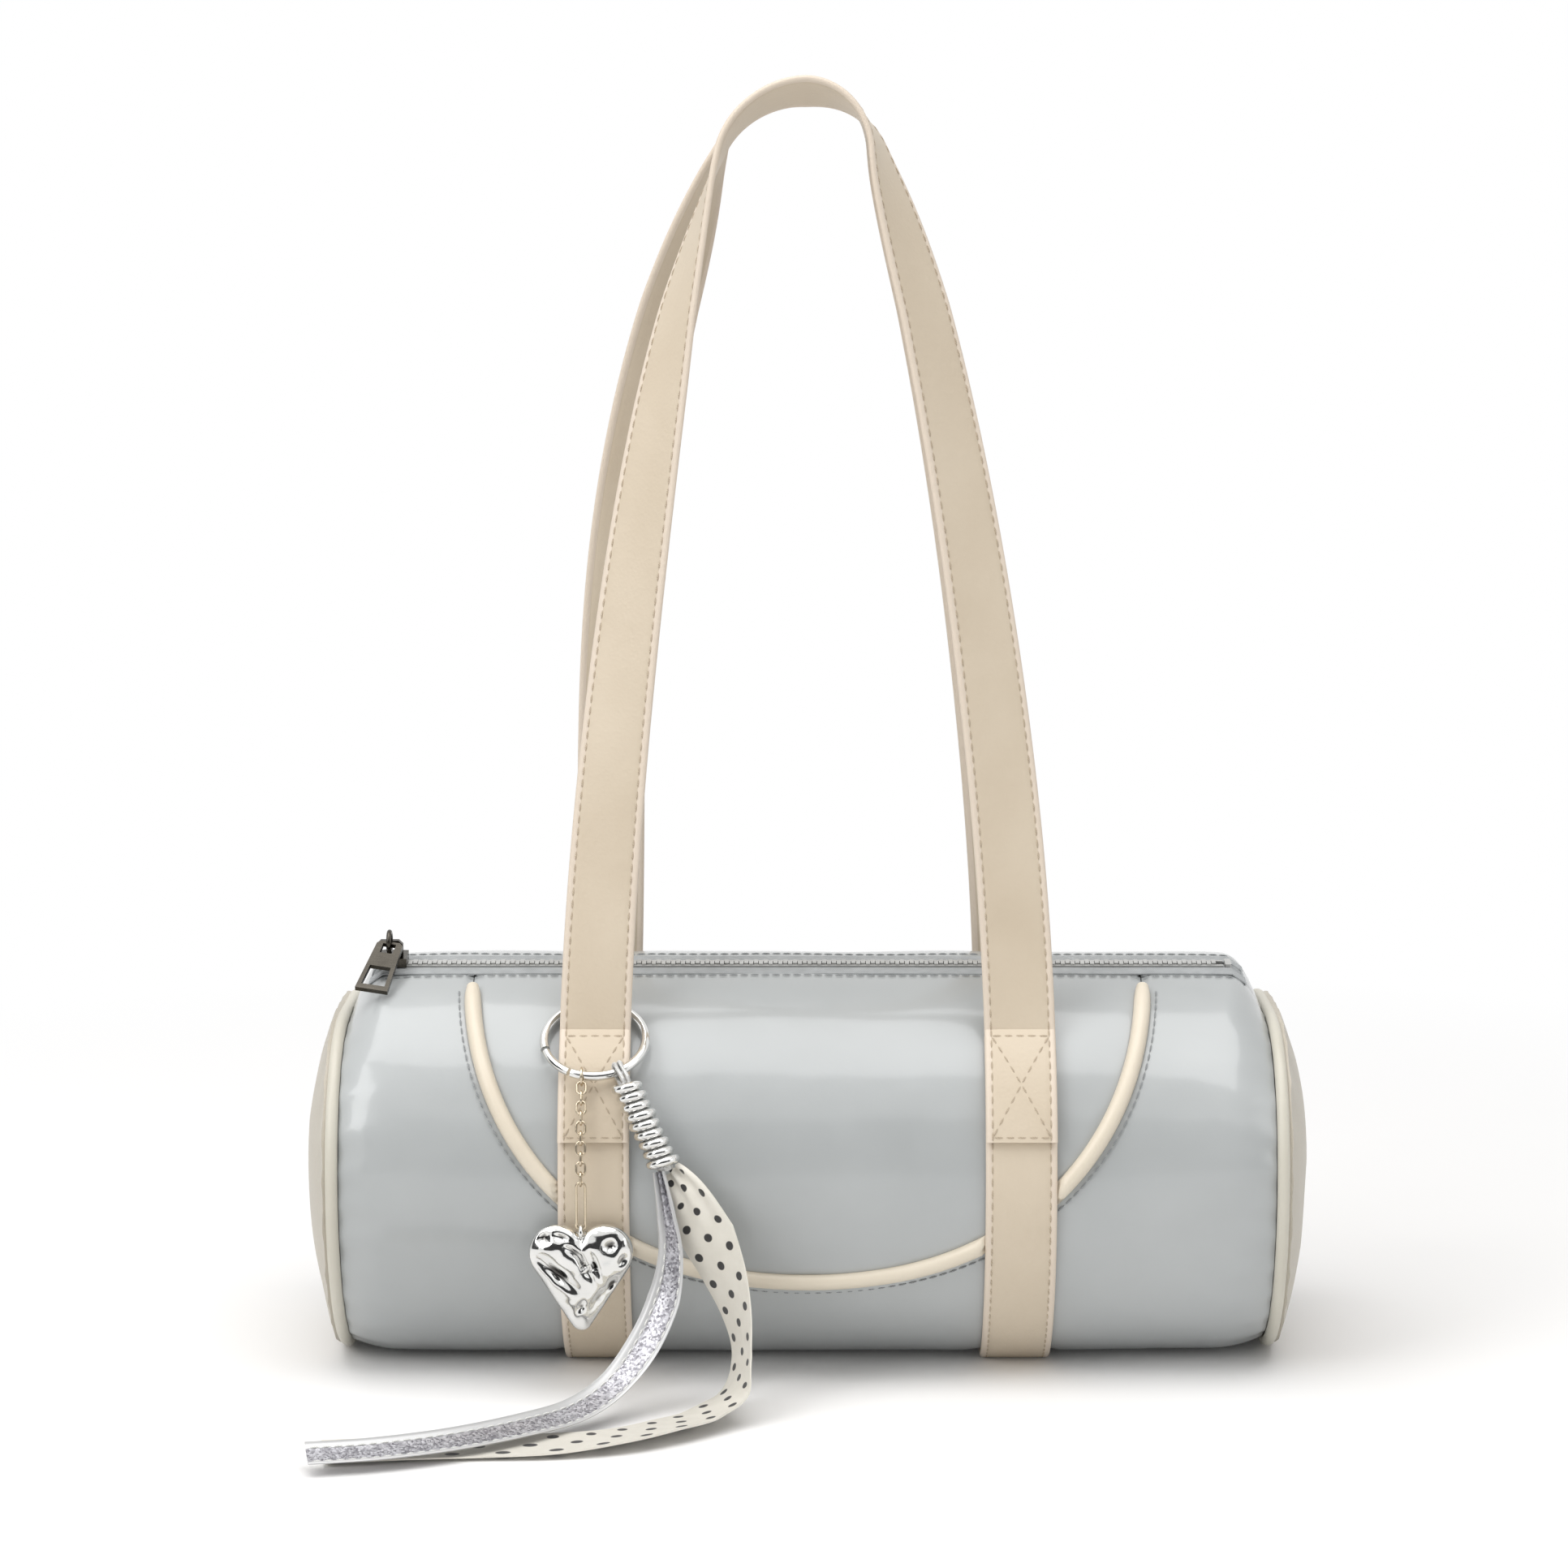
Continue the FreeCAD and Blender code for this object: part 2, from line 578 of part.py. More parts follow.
def make_pull():
    """The pull's ring and the flat pull with its window."""
    ring = doc.addObject("Part::Torus", "pull_ring")
    bind(ring, {"Radius1": "sizes.link_radius", "Radius2": "sizes.link_wire"})
    ring.Placement = Placement(link_centre(), Rotation(Y_AXIS, 90))
    keep(ring, "zip_pull_link")

    body = doc.addObject("PartDesign::Body", "pull_body")
    top, foot, long = size("tab_top_width") / 2, size("tab_width") / 2, size("tab_length")
    hook = size("link_wire") + 0.5
    rim = 1.3
    head = -hook - 0.7 * rim
    edge = [(-foot, head + long), (-top, head + 1), (-top + 1, head)]
    edge += [(-x, y) for x, y in reversed(edge)]
    outline = new_sketch(body, "XY_Plane", "pull_outline", polyline(edge))
    new_pad(body, outline, "pull_pad", "sizes.tab_thickness")
    half_eye, window_top, window_foot = hook * 1.6, head + long * 0.52, head + long - rim * 1.4
    eye = [(-half_eye, -hook), (half_eye, -hook), (half_eye, hook * 2.2), (-half_eye, hook * 2.2)]
    window = [(-foot + 1.3 * rim, window_top), (foot - 1.3 * rim, window_top)]
    window += [(foot - rim, window_foot), (-foot + rim, window_foot)]
    doc.recompute()
    for name, lines in (("pull_eye", eye), ("pull_window", window)):
        cut = body.newObject("PartDesign::Pocket", name)
        cut.Profile = new_sketch(body, "XY_Plane", f"{name}_outline", polyline(lines))
        bind(cut, {"Length": "sizes.tab_thickness * 2"})
        cut.SideType = "Symmetric"
        doc.recompute()
    lie = Rotation(X_AXIS, 180 + tab_slope()).multiply(Rotation(Z_AXIS, size("tab_tilt")))
    body.Placement = Placement(tab_eye(), lie)
    keep(body, "zip_pull_tab")


# Bands and handles


def strap_layer(layer):
    """Inner and outer radius of a strap that lies on the wall, counted outward from layer 0."""
    inner = size("barrel_radius") + size("seam_gap") + layer * (size("strap_thickness") + size("seam_gap"))
    return inner, inner + size("strap_thickness")


def flat_spot(radius, angle):
    """The same as wall_point, in the two directions of a sketch that looks along the barrel."""
    point = wall_point(radius, angle)
    return Vector(point.y, point.z, 0)


def make_bands():
    """Each band runs from the front sewn square, under the barrel, to the back one, level with the floor."""
    inner, outer = strap_layer(0)
    axis, high = size("axis_height"), size("sewn_high_angle")
    thick = size("strap_thickness")

    def run(radius, floor):
        """Arc down the front, flat along the floor, arc up the back."""
        half = math.sqrt(radius**2 - (axis - floor) ** 2)
        low = math.degrees(math.asin((floor - axis) / radius))
        arc = Part.ArcOfCircle
        front = arc(flat_spot(radius, high), flat_spot(radius, (high + low) / 2), Vector(-half, floor, 0))
        base = Part.LineSegment(Vector(-half, floor, 0), Vector(half, floor, 0))
        rear = [flat_spot(radius, 180 - angle) for angle in ((high + low) / 2, high)]
        back = arc(Vector(half, floor, 0), *rear)
        return [front, base, back]

    ends = [Part.LineSegment(flat_spot(inner, a), flat_spot(outer, a)) for a in (high, 180 - high)]
    for name, side in (("left", -1), ("right", 1)):
        body = doc.addObject("PartDesign::Body", f"{name}_band_body")
        outline = run(outer, 0) + run(inner, thick) + ends
        sketch = new_sketch(body, "YZ_Plane", f"{name}_band_outline", outline)
        new_pad(body, sketch, f"{name}_band_pad", "sizes.strap_width")
        doc.recompute()
        body.Placement = Placement(Vector(side * size("strap_spacing") / 2, 0, 0), Rotation())
        keep(body, f"{name}_band")


def fold_angle():
    """Where a handle folds, just above its sewn square."""
    inner, outer = strap_layer(1)
    clear = (size("strap_thickness") / 2 + size("seam_gap")) / ((inner + outer) / 2)
    return size("sewn_high_angle") + math.degrees(clear)


def fold_point():
    """The line about which the front handle folds, at the barrel's middle."""
    return wall_point(sum(strap_layer(1)) / 2, fold_angle())


def handle_frames(right_twist, right_sway, samples=16):
    """Middle, width and face directions along a handle, from left to right as seen from its front."""
    fold, top = fold_point(), size("handle_top") - size("strap_thickness") / 2
    half, crown = size("strap_spacing") / 2, size("handle_crown_radius")
    tilt = math.radians(size("handle_crown_tilt"))
    thick, width = size("strap_thickness"), size("strap_width")
    crown_z = top - width / 2 * math.sin(tilt) - crown
    rise = crown_z - fold.z
    sweep = (half**2 + rise**2 - crown**2) / (2 * (half - crown))
    turn = math.asin(rise / (sweep - crown))
    leg, bend = sweep * turn, crown * (math.pi / 2 - turn)
    crown_y = -(width / 2 * math.cos(tilt) + thick / 2 * math.sin(tilt) + size("handle_lean_gap") / 2)

    def on_left(run):
        """Place and direction at a distance along the left half."""
        if run < leg:
            angle = run / sweep
            x, z = -half + sweep * (1 - math.cos(angle)), fold.z + sweep * math.sin(angle)
        else:
            angle = turn + (run - leg) / crown
            x, z = -crown * math.cos(angle), crown_z + crown * math.sin(angle)
        share = (z - fold.z) / (crown_z + crown - fold.z)
        y = fold.y + (crown_y - fold.y) * share
        return Vector(x, y, z), Vector(math.sin(angle), 0, math.cos(angle))

    def frame(run, early, sway):
        point, tangent = on_left(run)
        share = run / (leg + bend)
        point -= X_AXIS * (sway * math.sin(math.pi * share) ** 2)
        late = math.pi / 2 + tilt - math.radians(early)
        twist = math.radians(early * share) + late * share**6
        outward = Vector(-tangent.z, 0, tangent.x)
        face = Y_AXIS * -math.cos(twist) + outward * math.sin(twist)
        return point, tangent.cross(face).normalize(), face

    runs = [leg * step / samples for step in range(samples)]
    runs += [leg + bend * step / 6 for step in range(7)]
    left = [frame(run, size("handle_twist"), 0) for run in runs]
    right = [frame(run, right_twist, right_sway) for run in reversed(runs[:-1])]
    return left + [tuple(Vector(-v.x, v.y, v.z) for v in station) for station in right]


def ribbon_solid(frames, widths, thickness):
    """A flat strip through a run of middles, width directions and face directions."""
    sections = []
    for (point, across, face), width in zip(frames, widths):
        side, lift = across * (width / 2), face * (thickness / 2)
        corners = [point - side - lift, point + side - lift, point + side + lift, point - side + lift]
        sections.append(Part.makePolygon(corners + corners[:1]))
    return Part.makeLoft(sections, True, True)


def make_handles():
    """Two handles that lean together at the top, and their ends sewn over the bands."""
    thick, width = size("strap_thickness"), size("strap_width")
    inner, outer = strap_layer(1)
    low, high = size("sewn_low_angle"), size("sewn_high_angle")
    slack = (size("slack_leg_twist"), size("slack_leg_sway"))
    for name, turn, right_leg in (("front", 0, (size("handle_twist"), 0)), ("back", 180, slack)):
        about = Placement(Vector(), Rotation(Z_AXIS, turn))
        frames = handle_frames(*right_leg)
        strap = ribbon_solid(frames, [width] * len(frames), thick)
        for point, across, face in (frames[0], frames[-1]):
            start = point - X_AXIS * (width / 2)
            strap = strap.fuse(Part.makeCylinder(thick / 2, width, start, X_AXIS))
        shape_piece(f"{name}_handle", strap, about)
        ends = []
        for side in (-1, 1):
            outline = [
                Part.Arc(*[wall_point(outer, a) for a in (low, (low + high) / 2, high)]),
                Part.LineSegment(wall_point(outer, high), wall_point(inner, high)),
                Part.Arc(*[wall_point(inner, a) for a in (high, (low + high) / 2, low)]),
                Part.LineSegment(wall_point(inner, low), wall_point(outer, low)),
            ]
            face = Part.Face(Part.Wire([edge.toShape() for edge in outline]))
            face.translate(Vector(side * size("strap_spacing") / 2 - width / 2, 0, 0))
            ends.append(face.extrude(Vector(width, 0, 0)))
        shape_piece(f"{name}_handle_ends", Part.makeCompound(ends), about)


# Snap ring, chain, pendant and tassel


def ring_placement():
    """Snap ring round the front left strap: behind the handle on the wall, in front on the sewn end."""
    behind = size("barrel_radius") + size("ring_wire") + size("seam_gap")
    ahead = strap_layer(1)[1] + size("ring_wire") + size("ring_lift")
    across = 2 * size("ring_radius")
    spread = math.acos((behind**2 + ahead**2 - across**2) / (2 * behind * ahead))
    side = -size("strap_spacing") / 2
    low = wall_point(ahead, size("ring_low_angle"), side)
    high = wall_point(behind, size("ring_low_angle") + math.degrees(spread), side)
    rise = (high - low).normalize()
    return Placement((low + high) * 0.5, Rotation(X_AXIS, math.degrees(math.atan2(rise.z, rise.y))))


def ring_spot(angle):
    """Place and direction of the ring's wire at an angle round the ring."""
    turn = math.radians(angle)
    frame = ring_placement()
    place = frame.multVec(Vector(math.cos(turn), math.sin(turn), 0) * size("ring_radius"))
    return place, frame.Rotation.multVec(Vector(-math.sin(turn), math.cos(turn), 0))


def make_ring():
    """The ring's fixed part and its gate."""
    hinge, gap = size("gate_start"), size("gate_gap")
    arcs = {
        "key_ring": (hinge + size("gate_angle"), "360 - sizes.gate_angle", "sizes.ring_wire"),
        "ring_gate": (hinge + gap, "sizes.gate_angle - 2 * sizes.gate_gap", "sizes.gate_wire"),
    }
    for label, (start, sweep, wire) in arcs.items():
        arc = doc.addObject("Part::Torus", label)
        bind(arc, {"Radius1": "sizes.ring_radius", "Radius2": wire, "Angle3": sweep})
        arc.Placement = ring_placement().multiply(Placement(Vector(), Rotation(Z_AXIS, start)))
        keep(arc, label)


def make_chain():
    """A round link on the ring, small links draped over the sewn end, a long link and the pendant."""
    wire, length, width = size("chain_wire"), size("chain_link_length"), size("chain_link_width")
    joint, play = size("jump_radius"), size("chain_play")
    place, along = ring_spot(size("chain_angle"))
    out = place - Vector(place.x, 0, size("axis_height"))
    drape = max(strap_layer(1)[1] + joint + wire, out.Length - 2 * play) + play
    start = math.degrees(math.atan2(out.z, -out.y)) - 0.3

    def hung(run):
        """Place on the drape at a distance from the round link, and the direction along it."""
        angle = start - math.degrees(run / drape)
        turn = math.radians(angle)
        return wall_point(drape, angle, place.x), Vector(0, -math.sin(turn), -math.cos(turn))

    hoop = Part.makeTorus(joint, wire, hung(0)[0], X_AXIS)
    link = oval_link(length, width, wire)
    first = joint + length / 2 - 3 * wire - play
    step = length - 4 * wire - play
    links = [hoop]
    for number in range(int(size("chain_count"))):
        spot, down = hung(first + step * number)
        face = X_AXIS if number % 2 else X_AXIS.cross(down)
        links.append(link.transformed(Placement(spot, upright(down, face)).toMatrix()))
    shape_piece("charm_chain", Part.makeCompound(links))

    long = size("end_link_length")
    last, down = hung(first + step * (size("chain_count") - 1))
    middle = last + down * (length / 2 - wire) + Z_AXIS * (2 * wire + play - long / 2 + wire)
    shape_piece("chain_end_link", oval_link(long, width, wire), Placement(middle, Rotation()))
    make_heart(middle - Z_AXIS * (long / 2 - wire))


def heart_wire(scale, depth):
    """Outline of the pendant at a depth, about its lobe centres."""
    lobe, tip, drop = size("heart_lobe"), size("heart_tip"), size("heart_drop")
    side = size("heart_width") / 2 - lobe
    centre, low = Vector(side, 0, 0), Vector(0, 0, -drop)
    reach = low - centre
    turn = math.atan2(reach.z, reach.x) + math.acos((lobe - tip) / reach.Length)
    normal = Vector(math.cos(turn), 0, math.sin(turn))
    notch = math.pi - math.acos(side / lobe)

    def on_lobe(angle):
        return centre + Vector(math.cos(angle), 0, math.sin(angle)) * lobe

    right = [on_lobe(notch + (turn - notch) * share / 4) for share in range(5)]
    right += [low + normal * tip, low - Z_AXIS * tip]
    left = [Vector(-p.x, 0, p.z) for p in right]
    middle = Vector(0, 0, -drop / 3)

    def out(point):
        spot = middle + (point - middle) * scale
        return Vector(spot.x, depth, spot.z)

    edges = [Part.Arc(out(right[5]), out(right[6]), out(left[5]))]
    for run in ([out(point) for point in right], [out(point) for point in left]):
        edges += [Part.Arc(*run[0:3]), Part.Arc(*run[2:5]), Part.LineSegment(*run[4:6])]
    return Part.Wire(Part.__sortEdges__([edge.toShape() for edge in edges]))


def make_heart(hang):
    """Puffed heart pendant with a hanging eye at its notch."""
    half = size("heart_depth") / 2
    front = [(0.6, -half), (0.86, -half * 0.75), (1.0, -half * 0.25)]
    steps = front + [(scale, -depth) for scale, depth in reversed(front)]
    puff = Part.makeLoft([heart_wire(scale, depth) for scale, depth in steps], True, True)
    side = size("heart_width") / 2 - size("heart_lobe")
    notch = math.sqrt(size("heart_lobe") ** 2 - side**2)
    eye_radius, wire = size("eye_radius"), size("eye_wire")
    eye = Part.makeTorus(eye_radius, wire, Vector(0, 0, notch + eye_radius * 0.55), X_AXIS)
    shift = hang - Vector(0, 0, notch + eye_radius * 1.55 - wire - size("chain_wire") - 0.15)
    shape_piece("heart_charm", largest(puff.fuse(eye)), Placement(shift, Rotation()))


def tassel_axis():
    """Top and direction of the wound wire, resting in front of the strap and the round wall."""
    reach = strap_layer(1)[1] + size("coil_radius") + size("coil_wire") + 1.2
    top = wall_point(reach, 27, -size("strap_spacing") / 2 + 10)
    return top, Vector(0.43, -0.15, -0.89).normalize()


def make_tassel():
    """Cord loop on the ring, gathered core, wound wire and the two ribbons."""
    hook, along = ring_spot(size("tassel_angle"))
    top, down = tassel_axis()
    pull = (top - hook).normalize()
    wire, half = size("loop_wire"), size("loop_half_width")
    leg = ((top - hook).Length - half - wire) / 2
    loop = oval_link(2 * (leg + half + wire), 2 * (half + wire), wire)
    middle = hook + pull * leg
    side = along.cross(pull).normalize()
    stand = Rotation(side, along, pull * -1, "ZXY")
    shape_piece("tassel_loop", loop, Placement(middle, stand))

    core = Part.makeCone(size("core_radius") * 0.8, size("core_radius"), size("coil_length") + 4)
    core_start = top + down * (wire + 1.2)
    lie = upright(down, X_AXIS)
    shape_piece("tassel_core", core, Placement(core_start, lie))
    shape_piece("tassel_coil", wound_wire(), Placement(core_start + down * 1.5, lie))
    core_end = core_start + down * (size("coil_length") + 4)
    make_ribbons(core_end, down)


def wound_wire():
    """One unbroken wire of even turns round the Z axis, with straight ends, made of quarter-turn arcs."""
    radius, wire = size("coil_radius"), size("coil_wire")
    turns = int(size("coil_turns"))
    pitch = (size("coil_length") - 2 * wire) / turns

    def spot(quarter):
        turn = quarter * math.pi / 2
        return Vector(radius * math.cos(turn), radius * math.sin(turn), wire + pitch * quarter / 4)

    def heading(quarter):
        turn = quarter * math.pi / 2
        return Vector(-radius * math.sin(turn), radius * math.cos(turn), pitch / (2 * math.pi)).normalize()

    quarters = range(4 * turns + 1)
    points = [spot(quarter) for quarter in quarters]
    tangents = [heading(quarter) for quarter in quarters]
    lead = Part.LineSegment(points[0] - tangents[0] * (2 * wire), points[0]).toShape()
    tail = Part.LineSegment(points[-1], points[-1] + tangents[-1] * (2 * wire)).toShape()
    edges = [lead] + biarc_edges(points, tangents) + [tail]
    fine = [point for edge in edges for point in edge.discretize(5)[:-1]]
    apart = 16
    gap = min((p - q).Length for i, p in enumerate(fine) for q in fine[i + apart :]) - 2 * wire
    print(f"wound wire: least gap to itself {gap:.2f} mm")
    return tube(edges, wire)


# Middles of the two ribbons from the wound wire to their tips, with the direction across each
SILVER_ROUTE = (
    ((-39.0, -69.0, 54.0), (0.95, -0.30, 0.10)),
    ((-37.6, -69.5, 42.0), (0.92, -0.38, 0.10)),
    ((-39.5, -72.0, 30.0), (0.88, -0.45, -0.15)),
    ((-45.0, -77.0, 18.5), (0.72, -0.55, -0.42)),
    ((-53.0, -85.0, 9.5), (0.55, -0.75, -0.36)),
    ((-63.0, -95.5, 5.2), (0.50, -0.80, -0.34)),
    ((-76.0, -108.0, 4.8), (0.45, -0.83, -0.33)),
    ((-94.0, -121.0, 4.8), (0.35, -0.88, -0.32)),
    ((-114.0, -130.0, 4.8), (0.22, -0.92, -0.32)),
    ((-131.5, -134.0, 4.8), (0.18, -0.93, -0.32)),
)
DOTTED_ROUTE = (
    ((-32.0, -68.5, 58.0), (0.82, -0.50, 0.28)),
    ((-27.5, -70.5, 48.0), (0.80, -0.52, 0.30)),
    ((-21.5, -72.0, 37.0), (0.74, -0.62, 0.25)),
    ((-17.8, -74.0, 25.5), (0.55, -0.82, 0.12)),
    ((-17.0, -77.0, 14.5), (0.42, -0.90, -0.10)),
    ((-20.0, -82.0, 6.0), (0.55, -0.83, -0.10)),
    ((-27.5, -90.0, 1.8), (0.75, -0.66, -0.03)),
    ((-38.0, -101.0, 0.9), (0.66, -0.75, 0.0)),
    ((-52.0, -111.0, 0.9), (0.45, -0.89, 0.0)),
    ((-68.0, -117.0, 0.9), (0.27, -0.96, 0.0)),
    ((-88.0, -121.0, 0.9), (0.20, -0.98, 0.0)),
    ((-108.0, -125.0, 0.9), (0.20, -0.98, 0.0)),
    ((-129.0, -129.5, 0.9), (0.20, -0.98, 0.0)),
)


def make_ribbons(start, down):
    """Two ribbons that leave the wound wire gathered, hang down in front and trail along the floor."""
    ribbons = (
        ("silver_ribbon", SILVER_ROUTE, size("silver_width"), Vector(-2.0, -1.2, 0)),
        ("dotted_ribbon", DOTTED_ROUTE, size("dotted_width"), Vector(1.4, 0.9, 0)),
    )
    for label, route, width, beside in ribbons:
        first = start + down * 1.4 + beside
        middles = [first] + [Vector(*middle) for middle, across in route]
        sides = [Vector(*route[0][1])] + [Vector(*across) for middle, across in route]
        frames = []
        for number, (middle, across) in enumerate(zip(middles, sides)):
            before = middles[max(number - 1, 0)]
            after = middles[min(number + 1, len(middles) - 1)]
            tangent = (after - before).normalize()
            face = tangent.cross(across).normalize()
            frames.append((middle, face.cross(tangent).normalize(), face))
        widths = [width * 0.3, width * 0.6] + [width] * (len(middles) - 2)
        shape_piece(label, ribbon_solid(frames, widths, size("ribbon_thickness")))
        length = sum((b - a).Length for a, b in zip(middles, middles[1:]))
        print(f"{label}: {length:.0f} mm long, {width:.0f} mm wide")


def write_pieces():
    """Checks every object and writes each piece to its own file."""
    doc.recompute()
    broken = [thing.Name for thing in doc.Objects if "Invalid" in thing.State or "Error" in thing.State]
    broken += [thing.Label for thing in pieces if thing.Shape.isNull() or not thing.Shape.isValid()]
    if broken:
        raise ValueError(f"these did not build: {broken}")
    os.makedirs("parts", exist_ok=True)
    for thing in pieces:
        thing.Shape.exportStep(os.path.join("parts", thing.Label + ".step"))


make_wall()
make_ends()
make_zip()
make_slider()
make_pull()
make_bands()
make_handles()
make_ring()
make_chain()
make_tassel()
write_pieces()
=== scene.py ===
"""Looks of the barrel bag: soft cover, straps, stitching, zip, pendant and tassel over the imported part."""
from functools import partial
from math import acos, asin, atan2, copysign, cos, degrees, exp, hypot, pi, radians, sin, sqrt
import bpy
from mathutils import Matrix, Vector
from mathutils.noise import noise


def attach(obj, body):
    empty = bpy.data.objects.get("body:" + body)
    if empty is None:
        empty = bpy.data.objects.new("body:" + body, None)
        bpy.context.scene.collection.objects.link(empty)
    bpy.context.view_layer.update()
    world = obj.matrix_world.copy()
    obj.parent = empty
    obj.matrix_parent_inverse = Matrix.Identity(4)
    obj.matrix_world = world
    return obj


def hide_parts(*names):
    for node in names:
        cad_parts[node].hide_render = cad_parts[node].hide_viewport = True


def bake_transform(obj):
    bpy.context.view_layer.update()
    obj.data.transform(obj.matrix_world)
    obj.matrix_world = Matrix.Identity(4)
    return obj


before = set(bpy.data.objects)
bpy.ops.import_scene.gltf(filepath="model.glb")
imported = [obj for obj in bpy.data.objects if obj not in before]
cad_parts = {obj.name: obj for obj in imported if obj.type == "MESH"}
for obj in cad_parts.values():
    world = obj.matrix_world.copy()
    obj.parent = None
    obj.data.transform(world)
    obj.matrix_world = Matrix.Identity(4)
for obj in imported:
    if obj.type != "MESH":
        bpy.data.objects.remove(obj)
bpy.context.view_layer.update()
scene = bpy.context.scene

MM = 0.001
BARREL_RADIUS = 58.5 * MM
BARREL_HALF = 131 * MM
AXIS_HEIGHT = 55.5 * MM
ZIP_LEAN = radians(9)
ZIP_ANGLE = 81.0
ZIP_HALF_SLOT = 7 * MM
SLOT_ANGLE = degrees(asin(ZIP_HALF_SLOT / BARREL_RADIUS))
FRONT_EDGE = ZIP_ANGLE - SLOT_ANGLE
BACK_EDGE = ZIP_ANGLE + SLOT_ANGLE - 360
MOUTH_HALF = 125.3 * MM
WALL = 1.5 * MM
STRAP_HALF = 10 * MM
STRAP_X = 59.5 * MM
BAND_RADIUS = 59.65 * MM
SEWN_RADIUS = 61.7 * MM
SEWN_LOW, SEWN_HIGH = 15.0, 45.0
SQUARE_STEPS = 12
CHANNEL = 8.1 * MM
SEAM_REACH, FINE_REACH = 0.00002, 0.000001
SWEEP_ANGLE = 50

# Front panel's outline seen from the front: a wide arc below, a corner arc at each side
PANEL_LOW = 30 * MM
CORNER_RADIUS, CORNER_X, CORNER_Z = 90 * MM, 6 * MM, 120.57 * MM
BOTTOM_RADIUS = 121.7 * MM
BOTTOM_Z = PANEL_LOW + BOTTOM_RADIUS
JOIN_TURN = atan2(CORNER_Z - BOTTOM_Z, -CORNER_X)
PIPING_TOP = 108.8 * MM


# Modelling


def pick(*pieces):
    """Selects pieces and makes the first one active."""
    bpy.ops.object.select_all(action="DESELECT")
    for piece in pieces:
        piece.select_set(True)
    bpy.context.view_layer.objects.active = pieces[0]


def laid(name, columns, rows, place):
    """A grid with each point where place puts it, from its shares across and along."""
    bpy.ops.mesh.primitive_grid_add(x_subdivisions=columns, y_subdivisions=rows, size=1)
    piece = bpy.context.object
    piece.name = piece.data.name = name
    for point in piece.data.vertices:
        point.co = place(point.co.x + 0.5, point.co.y + 0.5)
    return piece


def added(name, data):
    thing = bpy.data.objects.new(name, data)
    scene.collection.objects.link(thing)
    return thing


def begin_edit(piece):
    pick(piece)
    bpy.ops.object.mode_set(mode="EDIT")
    bpy.ops.mesh.select_all(action="SELECT")


def close_seams(piece, reach=SEAM_REACH):
    """Joins points that meet and turns the faces outward."""
    begin_edit(piece)
    bpy.ops.mesh.remove_doubles(threshold=reach)
    bpy.ops.mesh.normals_make_consistent(inside=False)
    bpy.ops.object.mode_set(mode="OBJECT")
    return piece


def face_out(piece, outward):
    """Turns an open sheet's faces to the side that outward gives at its middle face."""
    face = piece.data.polygons[len(piece.data.polygons) // 2]
    if face.normal.dot(outward(face.center)) < 0:
        begin_edit(piece)
        bpy.ops.mesh.flip_normals()
        bpy.ops.object.mode_set(mode="OBJECT")
    return piece


def thicken(piece, thickness, offset=-1):
    """Gives a sheet its thickness: inward with offset -1, to both sides with 0."""
    pick(piece)
    skin = piece.modifiers.new("solidify", "SOLIDIFY")
    skin.thickness, skin.offset = thickness, offset
    bpy.ops.object.modifier_apply(modifier=skin.name)
    return piece


def smooth(piece, angle=60):
    pick(piece)
    bpy.ops.object.shade_smooth_by_angle(angle=radians(angle))
    return piece


def joined(pieces, name):
    pick(*pieces)
    bpy.ops.object.join()
    pieces[0].name = pieces[0].data.name = name
    return pieces[0]


def directions(points):
    """Which way a line runs at each of its points."""
    ends = [points[0]] + points + [points[-1]]
    return [(after - before).normalized() for before, after in zip(ends, ends[2:])]


def sweep(name, path, section, ring=False):
    """A strap, welt or ribbon: its section set out at each station of a path.

    A station is (middle, across, face, share of the section's size)."""
    rows = list(path)
    if not ring:
        rows = [rows[0][:3] + (0,)] + rows + [rows[-1][:3] + (0,)]
    count, last = len(section), len(rows) - 1

    def place(u, v):
        side, lift = section[round(u * count) % count]
        middle, across, face, share = rows[round(v * last)]
        return middle + (across * side + face * lift) * share

    return smooth(close_seams(laid(name, count, last, place)), SWEEP_ANGLE)


def paint(piece, material):
    piece.data.materials.clear()
    piece.data.materials.append(material)


def dress(piece, nodes, material, body="bag"):
    """Gives a piece its material, sets the body it moves with and hides the solids it stands for."""
    paint(piece, material)
    if body:
        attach(piece, body)
    if nodes:
        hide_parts(*nodes)
    return piece


# Places on the bag


def on_barrel(radius, angle, x):
    """A point at a distance from the barrel's axis, at an angle in degrees up from the front."""
    turn = radians(angle)
    return Vector((x, -radius * cos(turn), AXIS_HEIGHT + radius * sin(turn)))


def radial(angle):
    turn = radians(angle)
    return Vector((0, -cos(turn), sin(turn)))


def from_axis(spot):
    return Vector((0, spot.y, spot.z - AXIS_HEIGHT))


def settle(point, floor, blur):
    """Lets a soft point spread over a floor, in millimetres, instead of going through it."""
    gap = point.z - floor * MM
    point.z = floor * MM + (gap + hypot(gap, blur * MM)) / 2
    return point


def bell(distance, width):
    return exp(-((distance / width) ** 2))


def on_zip(x, side, rise):
    """A point of the zip: along it, to its back side, and out from the barrel's axis."""
    lean, upright = sin(ZIP_LEAN), cos(ZIP_LEAN)
    return Vector((x, side * upright - rise * lean, AXIS_HEIGHT + rise * upright + side * lean))


